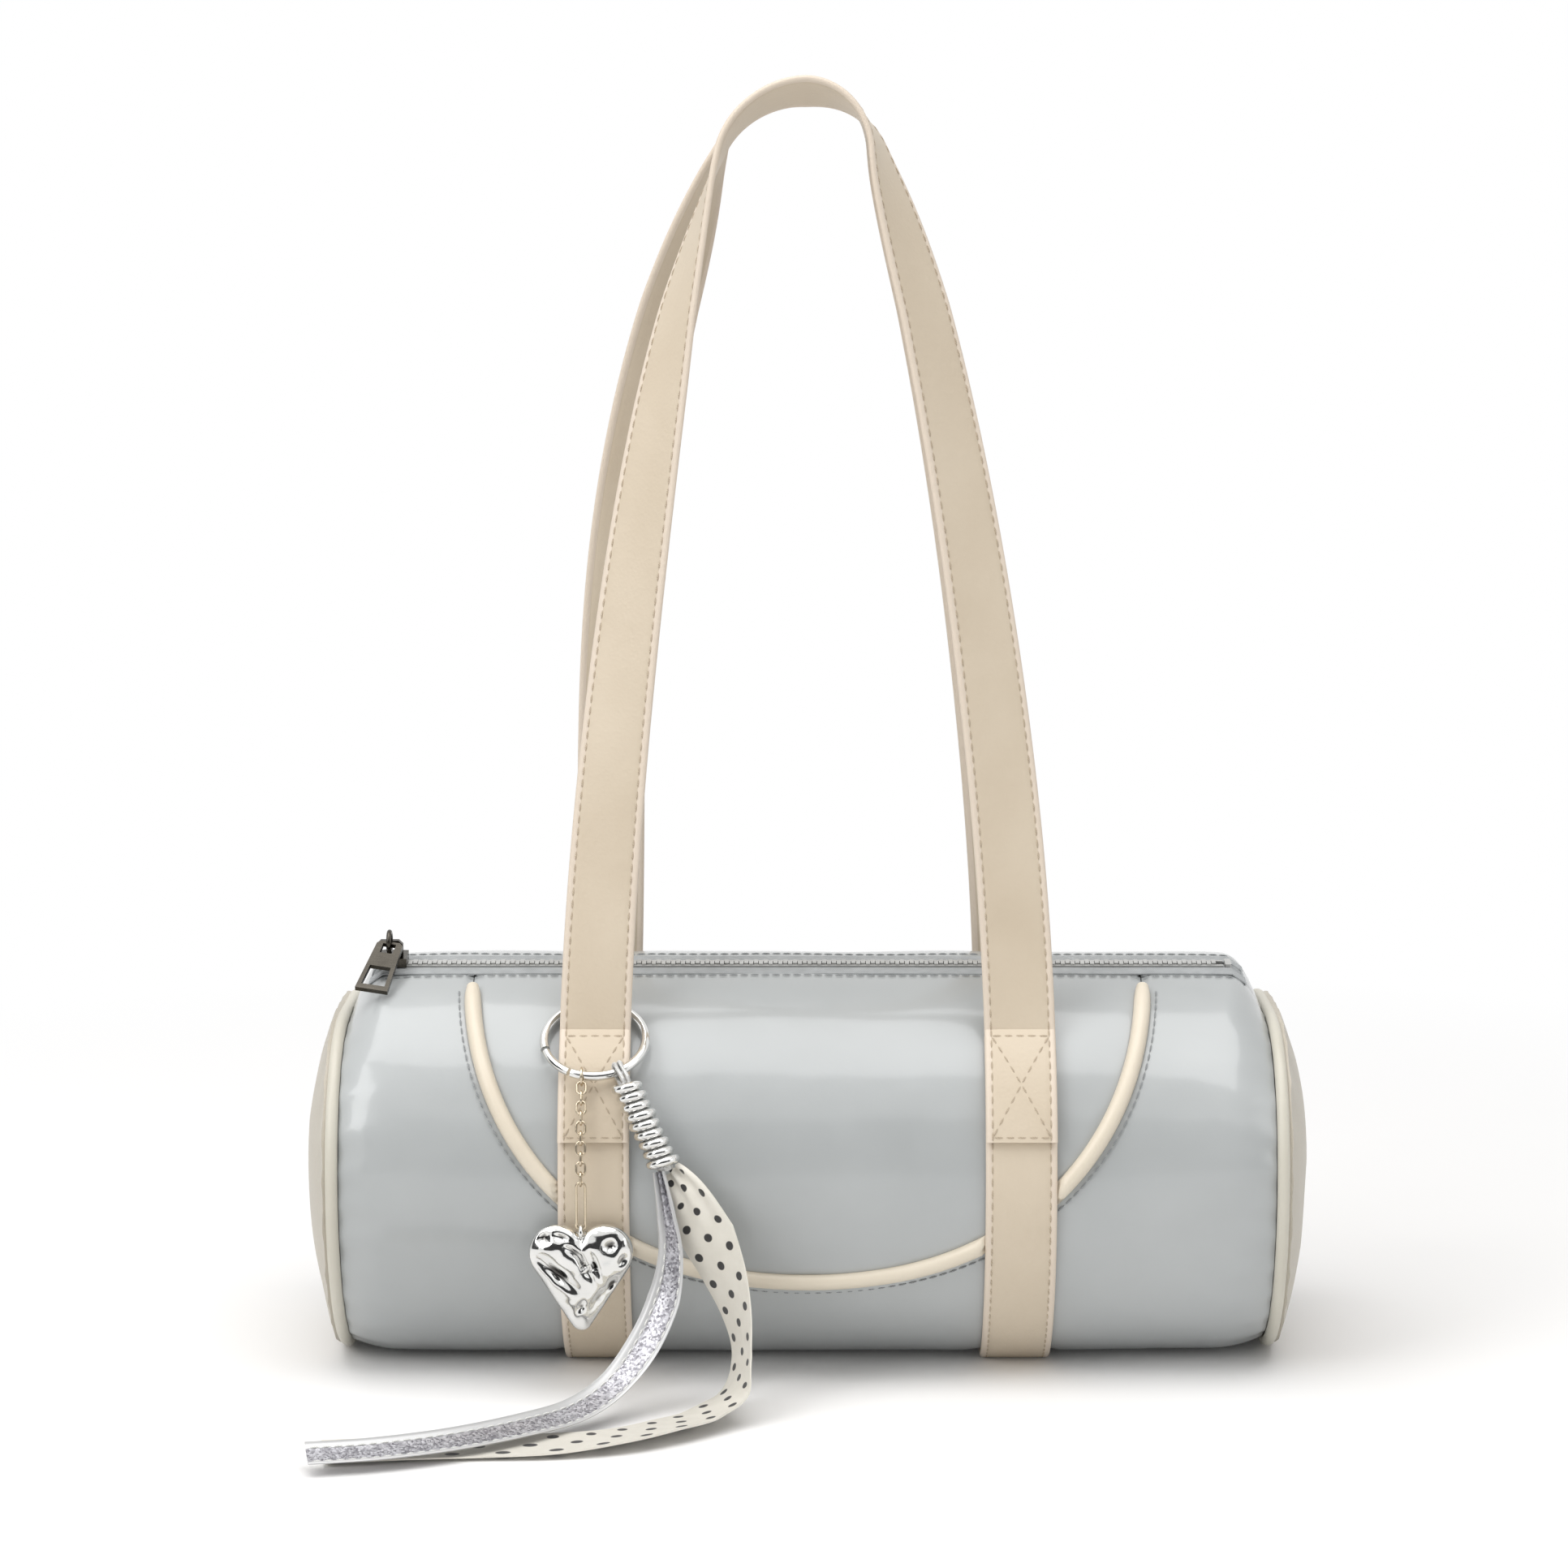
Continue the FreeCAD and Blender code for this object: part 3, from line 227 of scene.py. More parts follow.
def panel_edge(share):
    """Half width and height of the front panel, from its top (0) to the middle of its bottom (1)."""
    top = on_barrel(BARREL_RADIUS, FRONT_EDGE, 0).z
    first, last, bottom = pi - asin((top - CORNER_Z) / CORNER_RADIUS), JOIN_TURN + 2 * pi, 1.5 * pi
    side = CORNER_RADIUS * (last - first)
    run = share * (side + BOTTOM_RADIUS * (bottom - last))
    if run < side:
        turn, radius, x, z = first + run / CORNER_RADIUS, CORNER_RADIUS, CORNER_X, CORNER_Z
    else:
        turn, radius, x, z = min(last + (run - side) / BOTTOM_RADIUS, bottom), BOTTOM_RADIUS, 0, BOTTOM_Z
    return max(x - radius * cos(turn), 0.0), z + radius * sin(turn)


def seam_distance(x, z):
    """Distance from the front panel's edge seen from the front, less than 0 inside."""
    x = abs(x)
    if atan2(z - BOTTOM_Z, -x) > JOIN_TURN or x > -cos(JOIN_TURN) * BOTTOM_RADIUS:
        return hypot(x - CORNER_X, z - CORNER_Z) - CORNER_RADIUS
    return hypot(x, z - BOTTOM_Z) - BOTTOM_RADIUS


def height_angle(z):
    """Angle of the front wall at a height."""
    return degrees(asin((z - AXIS_HEIGHT) / BARREL_RADIUS))


def shoulder(x, angle):
    """How far the wall is drawn in towards the smaller end, most at the top past the zip."""
    top = max(0, sin(radians(angle)))
    start = (117 + 4 * top**6) * MM
    turn = max(0, (abs(x) - start) / (BARREL_HALF - start))
    return (3 + 11 * top**4) * MM * min(turn, 1.0) ** 2


def end_reach(angle):
    """Distance of the end seam from the barrel's axis."""
    return BARREL_RADIUS - shoulder(BARREL_HALF, angle)


def along_wall(share):
    """Share of the way from the bag's middle to its end, in closer steps at the shoulder."""
    return 0.3 * share + 0.7 * sin(pi / 2 * share)


def wall_dent(x, angle):
    """How far the soft wall falls in: loose dents, gathers at the end seams, pull under the straps."""
    spot = on_barrel(BARREL_RADIUS, angle, x)
    to_end = BARREL_HALF - abs(x)
    loose = 0.55 + 0.9 * exp(-to_end / (28 * MM))
    dent = loose * max(0, 0.35 + noise(spot * 26))
    dent += 0.3 * loose * max(0, noise(spot * 62 + Vector((3, 1, 7))))
    gather = 0.5 + 0.5 * sin(radians(angle) * 34 + 2 * noise(spot * 40))
    dent += 0.5 * gather * exp(-to_end / (7 * MM))
    strap = abs(abs(x) - STRAP_X) - STRAP_HALF
    dent += 0.35 / (1 + exp(strap / (2.5 * MM)))
    return dent * MM


def wall_spot(x, angle, front=False):
    """A point of the soft wall."""
    radius = BARREL_RADIUS - wall_dent(x, angle) - shoulder(x, angle)
    slack = min(abs(angle - FRONT_EDGE), abs(angle - BACK_EDGE)) * radians(1) * BARREL_RADIUS
    radius -= 0.5 * MM * bell(slack, 1.3 * MM)
    point = on_barrel(radius, angle, x)
    if front:
        away = seam_distance(x, on_barrel(BARREL_RADIUS, angle, x).z)
        point -= radial(angle) * (1.0 * MM * bell(away, 1.7 * MM))
    over_strap = 1 / (1 + exp((abs(abs(x) - STRAP_X) - STRAP_HALF - 1.5 * MM) / (0.8 * MM)))
    return settle(point, 0.15 + 2.1 * over_strap, 1.6)


# Soft cover


def make_cover(patent):
    """The round wall in one skin, open at the zip and at the front panel's seam."""
    low_angle = height_angle(PANEL_LOW)

    def beside_panel(side, u, v):
        half, height = panel_edge(1 - v)
        x = half + (BARREL_HALF - half) * along_wall(u)
        return wall_spot(side * x, height_angle(height), front=True)

    def below(u, v):
        angle = low_angle + (BACK_EDGE - low_angle) * v
        return wall_spot(along_wall(2 * u - 1) * BARREL_HALF, angle, front=v < 0.1)

    def past_zip(side, u, v):
        angle = FRONT_EDGE + 2 * SLOT_ANGLE * v
        x = MOUTH_HALF + (BARREL_HALF - MOUTH_HALF) * u
        return wall_spot(side * x, angle if v < 0.5 else angle - 360)

    sheets = [laid("cover_side", 60, 80, partial(beside_panel, side)) for side in (-1, 1)]
    sheets.append(laid("cover_round", 120, 150, below))
    sheets += [laid("cover_past_zip", 12, 12, partial(past_zip, side)) for side in (-1, 1)]
    cover = face_out(close_seams(joined(sheets, "barrel_cover"), 2 * SEAM_REACH), from_axis)
    dress(smooth(thicken(cover, WALL)), ["barrel_shell"], patent)


def make_front_panel(patent):
    """The inset panel that the straps cross, turned down into the welted seam."""
    def place(u, v):
        half, height = panel_edge(1 - v)
        return wall_spot((2 * u - 1) * max(half - 0.25 * MM, 0), height_angle(height), front=True)

    panel = face_out(close_seams(laid("front_panel_cover", 96, 80, place)), from_axis)
    dress(smooth(thicken(panel, WALL)), ["front_panel"], patent)


def round_section(radius, sides=14):
    turns = [2 * pi * step / sides for step in range(sides)]
    return [(radius * cos(turn), radius * sin(turn)) for turn in turns]


def seam_path(offset, top, count=90):
    """Places along the panel's seam from left top to right top, set off outward."""
    left = [panel_edge(step / count) for step in range(count + 1)]
    left = [(-half, z) for half, z in left if z <= top]
    spots = [Vector(spot) for spot in left + [(-x, z) for x, z in reversed(left[:-1])]]
    points, faces = [], []
    for (x, z), run in zip(spots, directions(spots)):
        angle = height_angle(z - run.x * offset)
        points.append(on_barrel(BARREL_RADIUS, angle, x + run.y * offset))
        faces.append(radial(angle))
    return [(p, run.cross(f).normalized(), f) for p, run, f in zip(points, directions(points), faces)]


def make_panel_piping(trim):
    """Welt cord in the panel's seam, pressed flat where the straps lie over it."""
    path = seam_path(0, PIPING_TOP)
    rounded = [0.75, 0.93, 0.99]
    shares = rounded + [1] * (len(path) - 6) + rounded[::-1]
    path = [station + (share,) for station, share in zip(path, shares)]
    welt = sweep("panel_welt", path, round_section(2.4 * MM))
    pressed = BARREL_RADIUS + 0.05 * MM
    for point in welt.data.vertices:
        out = from_axis(point.co)
        if abs(abs(point.co.x) - STRAP_X) < STRAP_HALF + 0.4 * MM and out.length > pressed:
            point.co += out.normalized() * (pressed - out.length)
    dress(welt, ["panel_piping"], trim)


def make_end(name, side, trim, leather):
    """Domed end with its welt: drawn tight in the middle, gathered a little at the seam."""
    rim, bulge, seam = 135.3 * MM, 8.8 * MM, 132.9 * MM

    def place(u, v):
        angle = 360 * u
        spot = on_barrel(v * end_reach(angle), angle, 0)
        gather = sin(radians(angle) * 26 + 3 * noise(spot * 40))
        dome = bulge * (1 - v**2.3) + 0.35 * MM * gather * v**8
        dome -= 0.9 * MM * max(0, noise(spot * 30 + Vector((side, 0, 0)))) * (1 - v**4)
        spot.x = side * (rim + max(dome, 0))
        return settle(spot, 0.2, 1.2)

    panel = face_out(close_seams(laid(f"{name}_end_cover", 96, 26, place)), lambda spot: Vector((side, 0, 0)))
    dress(smooth(thicken(panel, 1.4 * MM)), [f"{name}_end_panel"], leather)
    path = []
    for step in range(121):
        angle = 3.0 * step
        sunk = (0.3 + 1.3 * max(0, sin(radians(angle))) ** 4) * MM
        point = settle(on_barrel(end_reach(angle) - sunk, angle, side * seam), 2.0, 2.0)
        path.append((point, Vector((1, 0, 0)), radial(angle), 1))
    welt = sweep(f"{name}_end_welt", path, round_section(1.8 * MM), ring=True)
    dress(welt, [f"{name}_end_piping"], trim)


def make_lining(cotton):
    """Cotton bag inside, a little loose."""
    reach = 128 * MM

    def skin(u, v):
        angle = FRONT_EDGE + 1 + (BACK_EDGE - FRONT_EDGE - 2) * v
        x = along_wall(2 * u - 1) * reach
        spot = on_barrel(1, angle, x)
        fold = 0.5 + 0.5 * noise(Vector((x * 20, spot.y * 5, spot.z * 5)))
        inner = (53.6 - 0.9 * fold) * MM - shoulder(abs(x) + 3 * MM, angle)
        return settle(on_barrel(inner, angle, x), 5.0, 1.5)

    def end(side, u, v):
        spot = on_barrel(v * (end_reach(360 * u) - 5.4 * MM), 360 * u, side * reach)
        spot.x -= side * 1.2 * MM * (1 - v) * (1 + noise(spot * 40))
        return settle(spot, 5.2, 1.5)

    sheets = [laid("lining_round", 50, 90, skin)]
    sheets += [laid("lining_end", 60, 8, partial(end, side)) for side in (-1, 1)]
    bag = thicken(close_seams(joined(sheets, "cotton_lining")), 0.4 * MM, 0)
    dress(smooth(bag), ["lining"], cotton)


# Straps


def strap_section():
    """Turned edges, a shallow channel under each row of stitches and a slight crown between."""
    outer = [(-9.95, 0.30), (-9.6, 0.72), (-9.0, 0.90), (-8.5, 0.86), (-8.1, 0.70), (-7.7, 0.84), (-6.5, 0.92)]
    outer += [(-3, 0.95), (0, 0.96)]
    upper = outer + [(-side, lift) for side, lift in reversed(outer[:-1])]
    lower = [(side, -lift) for side, lift in reversed(upper)]
    return [(side * MM, lift * MM) for side, lift in upper + lower]


def band_path(x, count=110):
    """From the front sewn square, under the barrel and up to the back one."""
    across, points = Vector((-1, 0, 0)), []
    for step in range(count + 1):
        angle = SEWN_HIGH - (180 + 2 * SEWN_HIGH) * step / count
        points.append(settle(on_barrel(BAND_RADIUS, angle, x), 0.96, 0.5))
    return [(p, across, run.cross(across).normalized() * -1, 1) for p, run in zip(points, directions(points))]


def turned(path, x_side, y_side):
    """The same stations with left and right, or front and back, changed over by -1."""
    def about(vector):
        return Vector((x_side * vector.x, y_side * vector.y, vector.z))
    return [(about(p), about(a), about(f), share) for p, a, f, share in path]


def handle_path(left_leg, right_leg, legs=70, crown_steps=26):
    """A handle from its left sewn square over the top to the right one, seen from its own front.

    A leg is (early twist in degrees, sway, how long it holds back the rest of its twist)."""
    fold_angle, fold_steps = SEWN_HIGH + 1.07, 4
    fold = on_barrel(SEWN_RADIUS, fold_angle, 0)
    half, crown, top = STRAP_X, 23 * MM, 364.3 * MM
    tilt = radians(22)
    crown_z = top - STRAP_HALF * sin(tilt) - crown
    rise = crown_z - fold.z
    arc = (half**2 + rise**2 - crown**2) / (2 * (half - crown))
    turn = asin(rise / (arc - crown))
    leg, bend = arc * turn, crown * (pi / 2 - turn)
    crown_y = -(STRAP_HALF * cos(tilt) + 0.9 * MM * sin(tilt) + 0.3 * MM)

    def on_left(run, early, sway, hold):
        if run < leg:
            angle = run / arc
            x, z = -half + arc * (1 - cos(angle)), fold.z + arc * sin(angle)
        else:
            angle = turn + (run - leg) / crown
            x, z = -crown * cos(angle), crown_z + crown * sin(angle)
        share = (z - fold.z) / (crown_z + crown - fold.z)
        point = Vector((x, fold.y + (crown_y - fold.y) * share, z))
        tangent = Vector((sin(angle), 0, cos(angle)))
        share = run / (leg + bend)
        point.x -= sway * sin(pi * share) ** 2
        late = share**hold * (hold + 1 - hold * share)
        twist = radians(early) * share + (pi / 2 + tilt - radians(early)) * late
        outward = Vector((-tangent.z, 0, tangent.x))
        face = Vector((0, -cos(twist), 0)) + outward * sin(twist)
        return point, tangent.cross(face).normalized(), face, 1

    def left_half(*looks):
        across, placed = Vector((1, 0, 0)), []
        for step in range(SQUARE_STEPS + 1):
            angle = SEWN_LOW + (SEWN_HIGH - SEWN_LOW) * step / SQUARE_STEPS
            placed.append((on_barrel(SEWN_RADIUS, angle, -half), across, radial(angle), 1))
        middle = on_barrel(SEWN_RADIUS, fold_angle, -half)
        for step in range(1, fold_steps + 1):
            placed.append((middle, across, radial(SEWN_HIGH * (1 - step / fold_steps)), 1))
        placed += [on_left(leg * step / legs, *looks) for step in range(1, legs)]
        placed += [on_left(leg + bend * step / crown_steps, *looks) for step in range(crown_steps + 1)]
        return placed

    return left_half(*left_leg) + turned(left_half(*right_leg)[-2::-1], -1, 1)


def hung(path):
    """Both legs a little straighter than an arc, and the top leaning to the left."""
    placed = []
    for point, across, face, share in path:
        rise = max(0, point.z - 100 * MM)
        inward = 2 * MM * sin(pi * min(rise / (200 * MM), 1)) * copysign(1, point.x)
        lean = 3 * MM * (rise / (264 * MM)) ** 2 - 3.2 * MM * (max(0, rise - 235 * MM) / (29 * MM)) ** 2
        placed.append((point - Vector((inward + lean, 0, 0)), across, face, share))
    return placed


def make_straps(leather, thread):
    section = strap_section()
    for name, side in (("left", -1), ("right", 1)):
        path = band_path(side * STRAP_X)
        dress(sweep(f"{name}_strap_band", path, section), [f"{name}_band"], leather)
        dress(sew(f"{name}_band_stitches", strap_rows(path)), [], thread)
    front = hung(handle_path((60, 0, 7), (60, 0, 16)))
    back = hung(turned(handle_path((60, 0, 16), (30, 6 * MM, 10)), -1, -1))
    fold = on_barrel(SEWN_RADIUS, SEWN_HIGH, 0)
    for name, path, sign in (("front", front, 1), ("back", back, -1)):
        strap = sweep(f"{name}_handle_strap", path, section)
        stitches = sew(f"{name}_handle_stitches", strap_rows(path) + sewn_squares(path))
        dress(strap, [f"{name}_handle", f"{name}_handle_ends"], leather, None)
        dress(stitches, [], thread, None)
        for piece in (strap, stitches):
            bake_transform(piece)


# Stitching


def strap_rows(path, lift=0.86 * MM):
    """A line of points with facing directions in each of a strap's two channels."""
    return [[(p + a * side + f * lift, f) for p, a, f, share in path] for side in (-CHANNEL, CHANNEL)]


def sewn_squares(path):
    """Cross and cross-bars sewn through both straps at the ends of a handle."""
    low, high, parts = 0.5, SQUARE_STEPS - 0.5, 14
    lines = [(-1, low, 1, low), (-1, high, 1, high), (-1, low, 1, high), (1, low, -1, high)]
    rows = []
    for run in (path[:SQUARE_STEPS + 1], path[-SQUARE_STEPS - 1:]):
        def spot(side, step):
            first = int(step)
            a, b, share = run[first], run[first + 1], step - first
            middle, face = a[0].lerp(b[0], share), a[2].lerp(b[2], share).normalized()
            return middle + a[1] * side * CHANNEL + face * 1.0 * MM, face

        for x0, s0, x1, s1 in lines:
            shares = [part / parts for part in range(parts + 1)]
            rows.append([spot(x0 + (x1 - x0) * share, s0 + (s1 - s0) * share) for share in shares])
    return rows


def one_stitch():
    """One stitch of thread, lying along X and rounded down into the leather at both ends."""
    bpy.ops.mesh.primitive_uv_sphere_add(segments=6, ring_count=5, radius=1)
    stitch = bpy.context.object
    for point in stitch.data.vertices:
        y, z, x = point.co
        point.co = Vector((1.25 * x, 0.27 * y, 0.2 * z - 0.12 * x * x)) * MM
    corners = [point.co.copy() for point in stitch.data.vertices]
    faces = [tuple(face.vertices) for face in stitch.data.polygons]
    bpy.data.objects.remove(stitch)
    return corners, faces


STITCH = one_stitch()


def sew(name, rows, pitch=3.4 * MM):
    """Copies of the stitch laid end to end along each row of points."""
    corners, faces = [], []
    for row in rows:
        lengths = [0.0]
        for (a, face_a), (b, face_b) in zip(row, row[1:]):
            lengths.append(lengths[-1] + (b - a).length)
        count = max(1, round(lengths[-1] / pitch))
        step, piece = lengths[-1] / count, 0
        for number in range(count):
            run = step * (number + 0.5)
            while lengths[piece + 1] < run:
                piece += 1
            share = (run - lengths[piece]) / (lengths[piece + 1] - lengths[piece])
            (a, face_a), (b, face_b) = row[piece], row[piece + 1]
            middle, face = a.lerp(b, share), face_a.lerp(face_b, share).normalized()
            along = (b - a).normalized()
            across = face.cross(along).normalized()
            first = len(corners)
            corners += [middle + along * c.x + across * c.y + face * c.z for c in STITCH[0]]
            faces += [tuple(first + corner for corner in loop) for loop in STITCH[1]]
    mesh = bpy.data.meshes.new(name)
    mesh.from_pydata(corners, [], faces)
    return smooth(close_seams(added(name, mesh), FINE_REACH), SWEEP_ANGLE)


def make_seam_stitches(thread):
    """Top-stitching outside the panel's welt and along both edges of the zip opening."""
    rows = [[(p + f * -0.1 * MM, f) for p, a, f in seam_path(3.8 * MM, 110 * MM)]]
    for edge in (FRONT_EDGE - 2.2, BACK_EDGE + 2.2):
        out = radial(edge)
        places = [(2 * step / 100 - 1) * 122 * MM for step in range(101)]
        rows.append([(wall_spot(x, edge) + out * 0.12 * MM, out) for x in places])
    dress(sew("cover_stitches", rows, 3.0 * MM), [], thread)


# Zip


def make_zip_tapes(tape):
    """Woven tapes, sewn under the edges of the wall and closed by short strips at the stops."""
    across, face = on_zip(0, 1, 0) - on_zip(0, 0, 0), on_zip(0, 0, 1) - on_zip(0, 0, 0)

    def strip(name, outline, first, last, middle, rise, steps):
        path = []
        for step in range(steps + 1):
            x = (first + (last - first) * step / steps) * MM
            wave = 0.1 * MM * noise(Vector((x * 60, middle, 0)))
            lift = rise * MM + wave - shoulder(x, ZIP_ANGLE)
            path.append((on_zip(x, middle * MM, lift), across, face, 1))
        section = outline + [(side, -lift) for side, lift in reversed(outline)]
        return sweep(name, path, [(side * MM, lift * MM) for side, lift in section])

    # In millimetres: half outlines as out and up, ends as first x, last x and rise
    tape_outline = [(-2.05, 0.25), (-1.6, 0.45), (0, 0.5), (2.2, 0.4), (3.0, 0.2)]
    end_outline = [(-2.9, 0.2), (0, 0.25), (2.9, 0.2)]
    ends = ((-125.9, -117.8, 56.6), (112, 120.2, 55.6), (119.6, 125.9, 56.6))
    for name, side in (("front", -1), ("back", 1)):
        outline = [(side * out, lift) for out, lift in tape_outline]
        strips = [strip(f"{name}_tape", outline, -125.7, 125.7, side * 4.57, 57.3, 60)]
        if name == "front":
            strips += [strip("tape_end", end_outline, first, last, 0, rise, 12) for first, last, rise in ends]
            joined(strips, "front_tape")
        dress(strips[0], [f"{name}_zip_tape"], tape)


# Pendant and tassel

HEART_MIDDLE = Vector((-62.69, -66.1, 41.9)) * MM
# Dents of the beaten pendant: place, half length, half width, slope in degrees, depth, in millimetres
HEART_DENTS = [
    (-6.5, -5.4, 6.3, 1.9, -40, 2.3), (1.0, -3.2, 4.2, 1.0, -60, 1.6), (4.0, -2.8, 3.8, 0.9, -68, 1.5),
    (8.2, 2.4, 2.2, 1.7, 10, 1.4), (11.6, -1.6, 2.0, 1.3, 60, 1.1), (8.4, -8.6, 2.8, 1.2, 55, 1.3),
    (0.2, -14.6, 1.9, 1.0, 60, 1.0), (-10.2, 4.6, 2.0, 1.6, 30, 1.2), (-5.2, 4.8, 2.7, 1.2, -15, 1.1),
    (4.8, -12.2, 3.2, 1.4, 62, 0.9), (-2.0, 0.8, 3.4, 0.9, -35, 1.1)]


def heart_outline(count=144):
    """The pendant's outline about its lobe centres, in millimetres, round from the notch."""
    lobe, tip, drop, side = 8.0, 3.0, 19.0, 6.5
    turn = atan2(-drop, -side) + acos((lobe - tip) / hypot(side, drop))
    notch = pi - acos(side / lobe)
    lobe_run, line = lobe * (notch - turn), sqrt(side**2 + drop**2 - (lobe - tip) ** 2)
    total = lobe_run + line + tip * (turn + pi / 2)

    def spot(run):
        if run < lobe_run + line:
            angle, past = notch - min(run, lobe_run) / lobe, max(run - lobe_run, 0)
            return side + lobe * cos(angle) + past * sin(turn), lobe * sin(angle) - past * cos(turn)
        angle = turn - (run - lobe_run - line) / tip
        return tip * cos(angle), -drop + tip * sin(angle)

    half = count // 2
    right = [spot(total * step / half) for step in range(half)] + [(0.0, -drop - tip)]
    return right + [(-x, z) for x, z in reversed(right[1:-1])]


def make_heart(metal):
    """Puffed heart beaten with deep dents, and its hanging eye."""
    outline = heart_outline()
    count, puff, centre = len(outline), 4.0, -5.0

    def hollows(x, z, front):
        """How deep the dents are at a place, and how far it lies inside one, the mask for the painted shade in
        the dents.
        """
        depth, inside = 0.0, 0.0
        for dent_x, dent_z, length, width, slope, deep in HEART_DENTS:
            off_x, off_z, turn = -front * x - dent_x, z - dent_z, radians(slope)
            along = (off_x * cos(turn) + off_z * sin(turn)) / length
            beside = (off_z * cos(turn) - off_x * sin(turn)) / width
            shaded_dent = exp(-(along**2 + beside**2) * 1.4)
            depth += deep * shaded_dent
            inside = max(inside, shaded_dent * min(deep / 1.3, 1))
        return depth, inside

    def place(u, v):
        x, z = outline[round(u * count) % count]
        size, depth = sin(pi * v) ** 0.62, -puff * cos(pi * v)
        x, z = x * size, centre + (z - centre) * size
        front = -1 if v < 0.5 else 1
        depth -= front * hollows(x, z, front)[0] * min(1, abs(cos(pi * v)) * 2.2)
        depth += 0.35 * noise(Vector((x * 0.3, front, z * 0.3)))
        return HEART_MIDDLE + Vector((x, depth, z)) * MM

    heart = close_seams(laid("beaten_heart", count, 72, place))
    # Painted shade: a mask of how far each point lies inside a dent, which the metal finish darkens
    dark = heart.data.attributes.new("shaded_dent", "FLOAT", "POINT")
    for number, point in enumerate(heart.data.vertices):
        spot = (point.co - HEART_MIDDLE) / MM
        dark.data[number].value = hollows(spot.x, spot.z, -1 if spot.y < 0 else 1)[1]
    eye_place = HEART_MIDDLE + Vector((0, 0, 5.7)) * MM
    bpy.ops.mesh.primitive_torus_add(major_radius=1.9 * MM, minor_radius=0.55 * MM, major_segments=36,
                                     minor_segments=14, location=eye_place, rotation=(0, pi / 2, 0))
    eye = bpy.context.object
    bpy.ops.object.transform_apply()
    dress(smooth(joined([heart, eye], "beaten_heart"), 70), ["heart_charm"], metal, "heart")


LOOP_TOP = Vector((-52.4, -55.4986, 90.8481)) * MM
COIL_TOP = Vector((-49.5, -61.5, 86.8)) * MM
COIL_DOWN = Vector((0.43, -0.15, -0.89)).normalized()
COIL_ACROSS = COIL_DOWN.cross(Vector((0, -1, 0))).normalized()
COIL_FRONT = COIL_ACROSS.cross(COIL_DOWN).normalized()


def make_cord_loop(cord):
    """Doubled cord that hangs the tassel on the ring, and the gathered cloth under the wound wire."""
    pull = (COIL_TOP - LOOP_TOP).normalized()
    along = Vector((0.866025, 0.417552, 0.275046))
    side = along.cross(pull).normalized()
    half, wire_radius, apart, steps, lay = 2.2 * MM, 0.65 * MM, 0.75 * MM, 72, 7
    leg = ((COIL_TOP - LOOP_TOP).length - half - wire_radius) / 2
    section = [(1.12 * x, 0.85 * y) for x, y in round_section(wire_radius, 12)]

    def one_turn(beside):
        middle = LOOP_TOP + pull * leg + along * beside
        path = []
        for step in range(steps + 1):
            turn = 2 * pi * step / steps
            out = side * cos(turn) + pull * sin(turn)
            point = middle + out * half
            if abs(sin(turn)) > 1e-6:
                point += pull * copysign(leg, sin(turn))
            face = along * cos(lay * turn) + out * sin(lay * turn)
            across = along * -sin(lay * turn) + out * cos(lay * turn)
            path.append((point, across, face, 1))
        return sweep("tassel_cord", path, section, ring=True)

    loop = joined([one_turn(-apart), one_turn(apart)], "tassel_cord")
    dress(loop, ["tassel_loop"], cord, "tassel")

    start, pleats = COIL_TOP + COIL_DOWN * 1.7 * MM, []
    for step in range(36):
        turn = 2 * pi * step / 36
        reach = 2.85 * MM * (1 - 0.14 * (0.5 + 0.5 * cos(9 * turn)))
        pleats.append((reach * cos(turn), reach * sin(turn)))
    shares = [0.3, 0.62, 0.82] + [0.9] * 18 + [0.84, 0.7]
    run = 23 * MM / (len(shares) - 1)
    path = [(start + COIL_DOWN * run * step, COIL_ACROSS, COIL_FRONT, share) for step, share in enumerate(shares)]
    dress(sweep("gathered_core", path, pleats), ["tassel_core"], cord, "tassel")


def make_wound_wire(metal):
    """Thick wire wound close over the gathered cloth, a little uneven, with a fuller last turn."""
    turns, pitch, steps, reach = 8.5, 2.85 * MM, 28, 3.0
    path = []
    for step in range(round(turns * steps) + 1):
        run = step / steps
        turn = 2 * pi * run
        out = COIL_ACROSS * cos(turn) + COIL_FRONT * sin(turn)
        uneven = 0.45 * noise(Vector((run * 1.7, 0.3, 0))) + 0.5 * max(0, run - turns + 1)
        middle = COIL_TOP + COIL_DOWN * (run * pitch - 1.6 * MM) + out * (reach + uneven) * MM
        path.append((middle, COIL_DOWN, out, 1))
    coil = sweep("wound_wire", path, round_section(1.3 * MM))
    dress(coil, ["tassel_coil"], metal, "tassel")


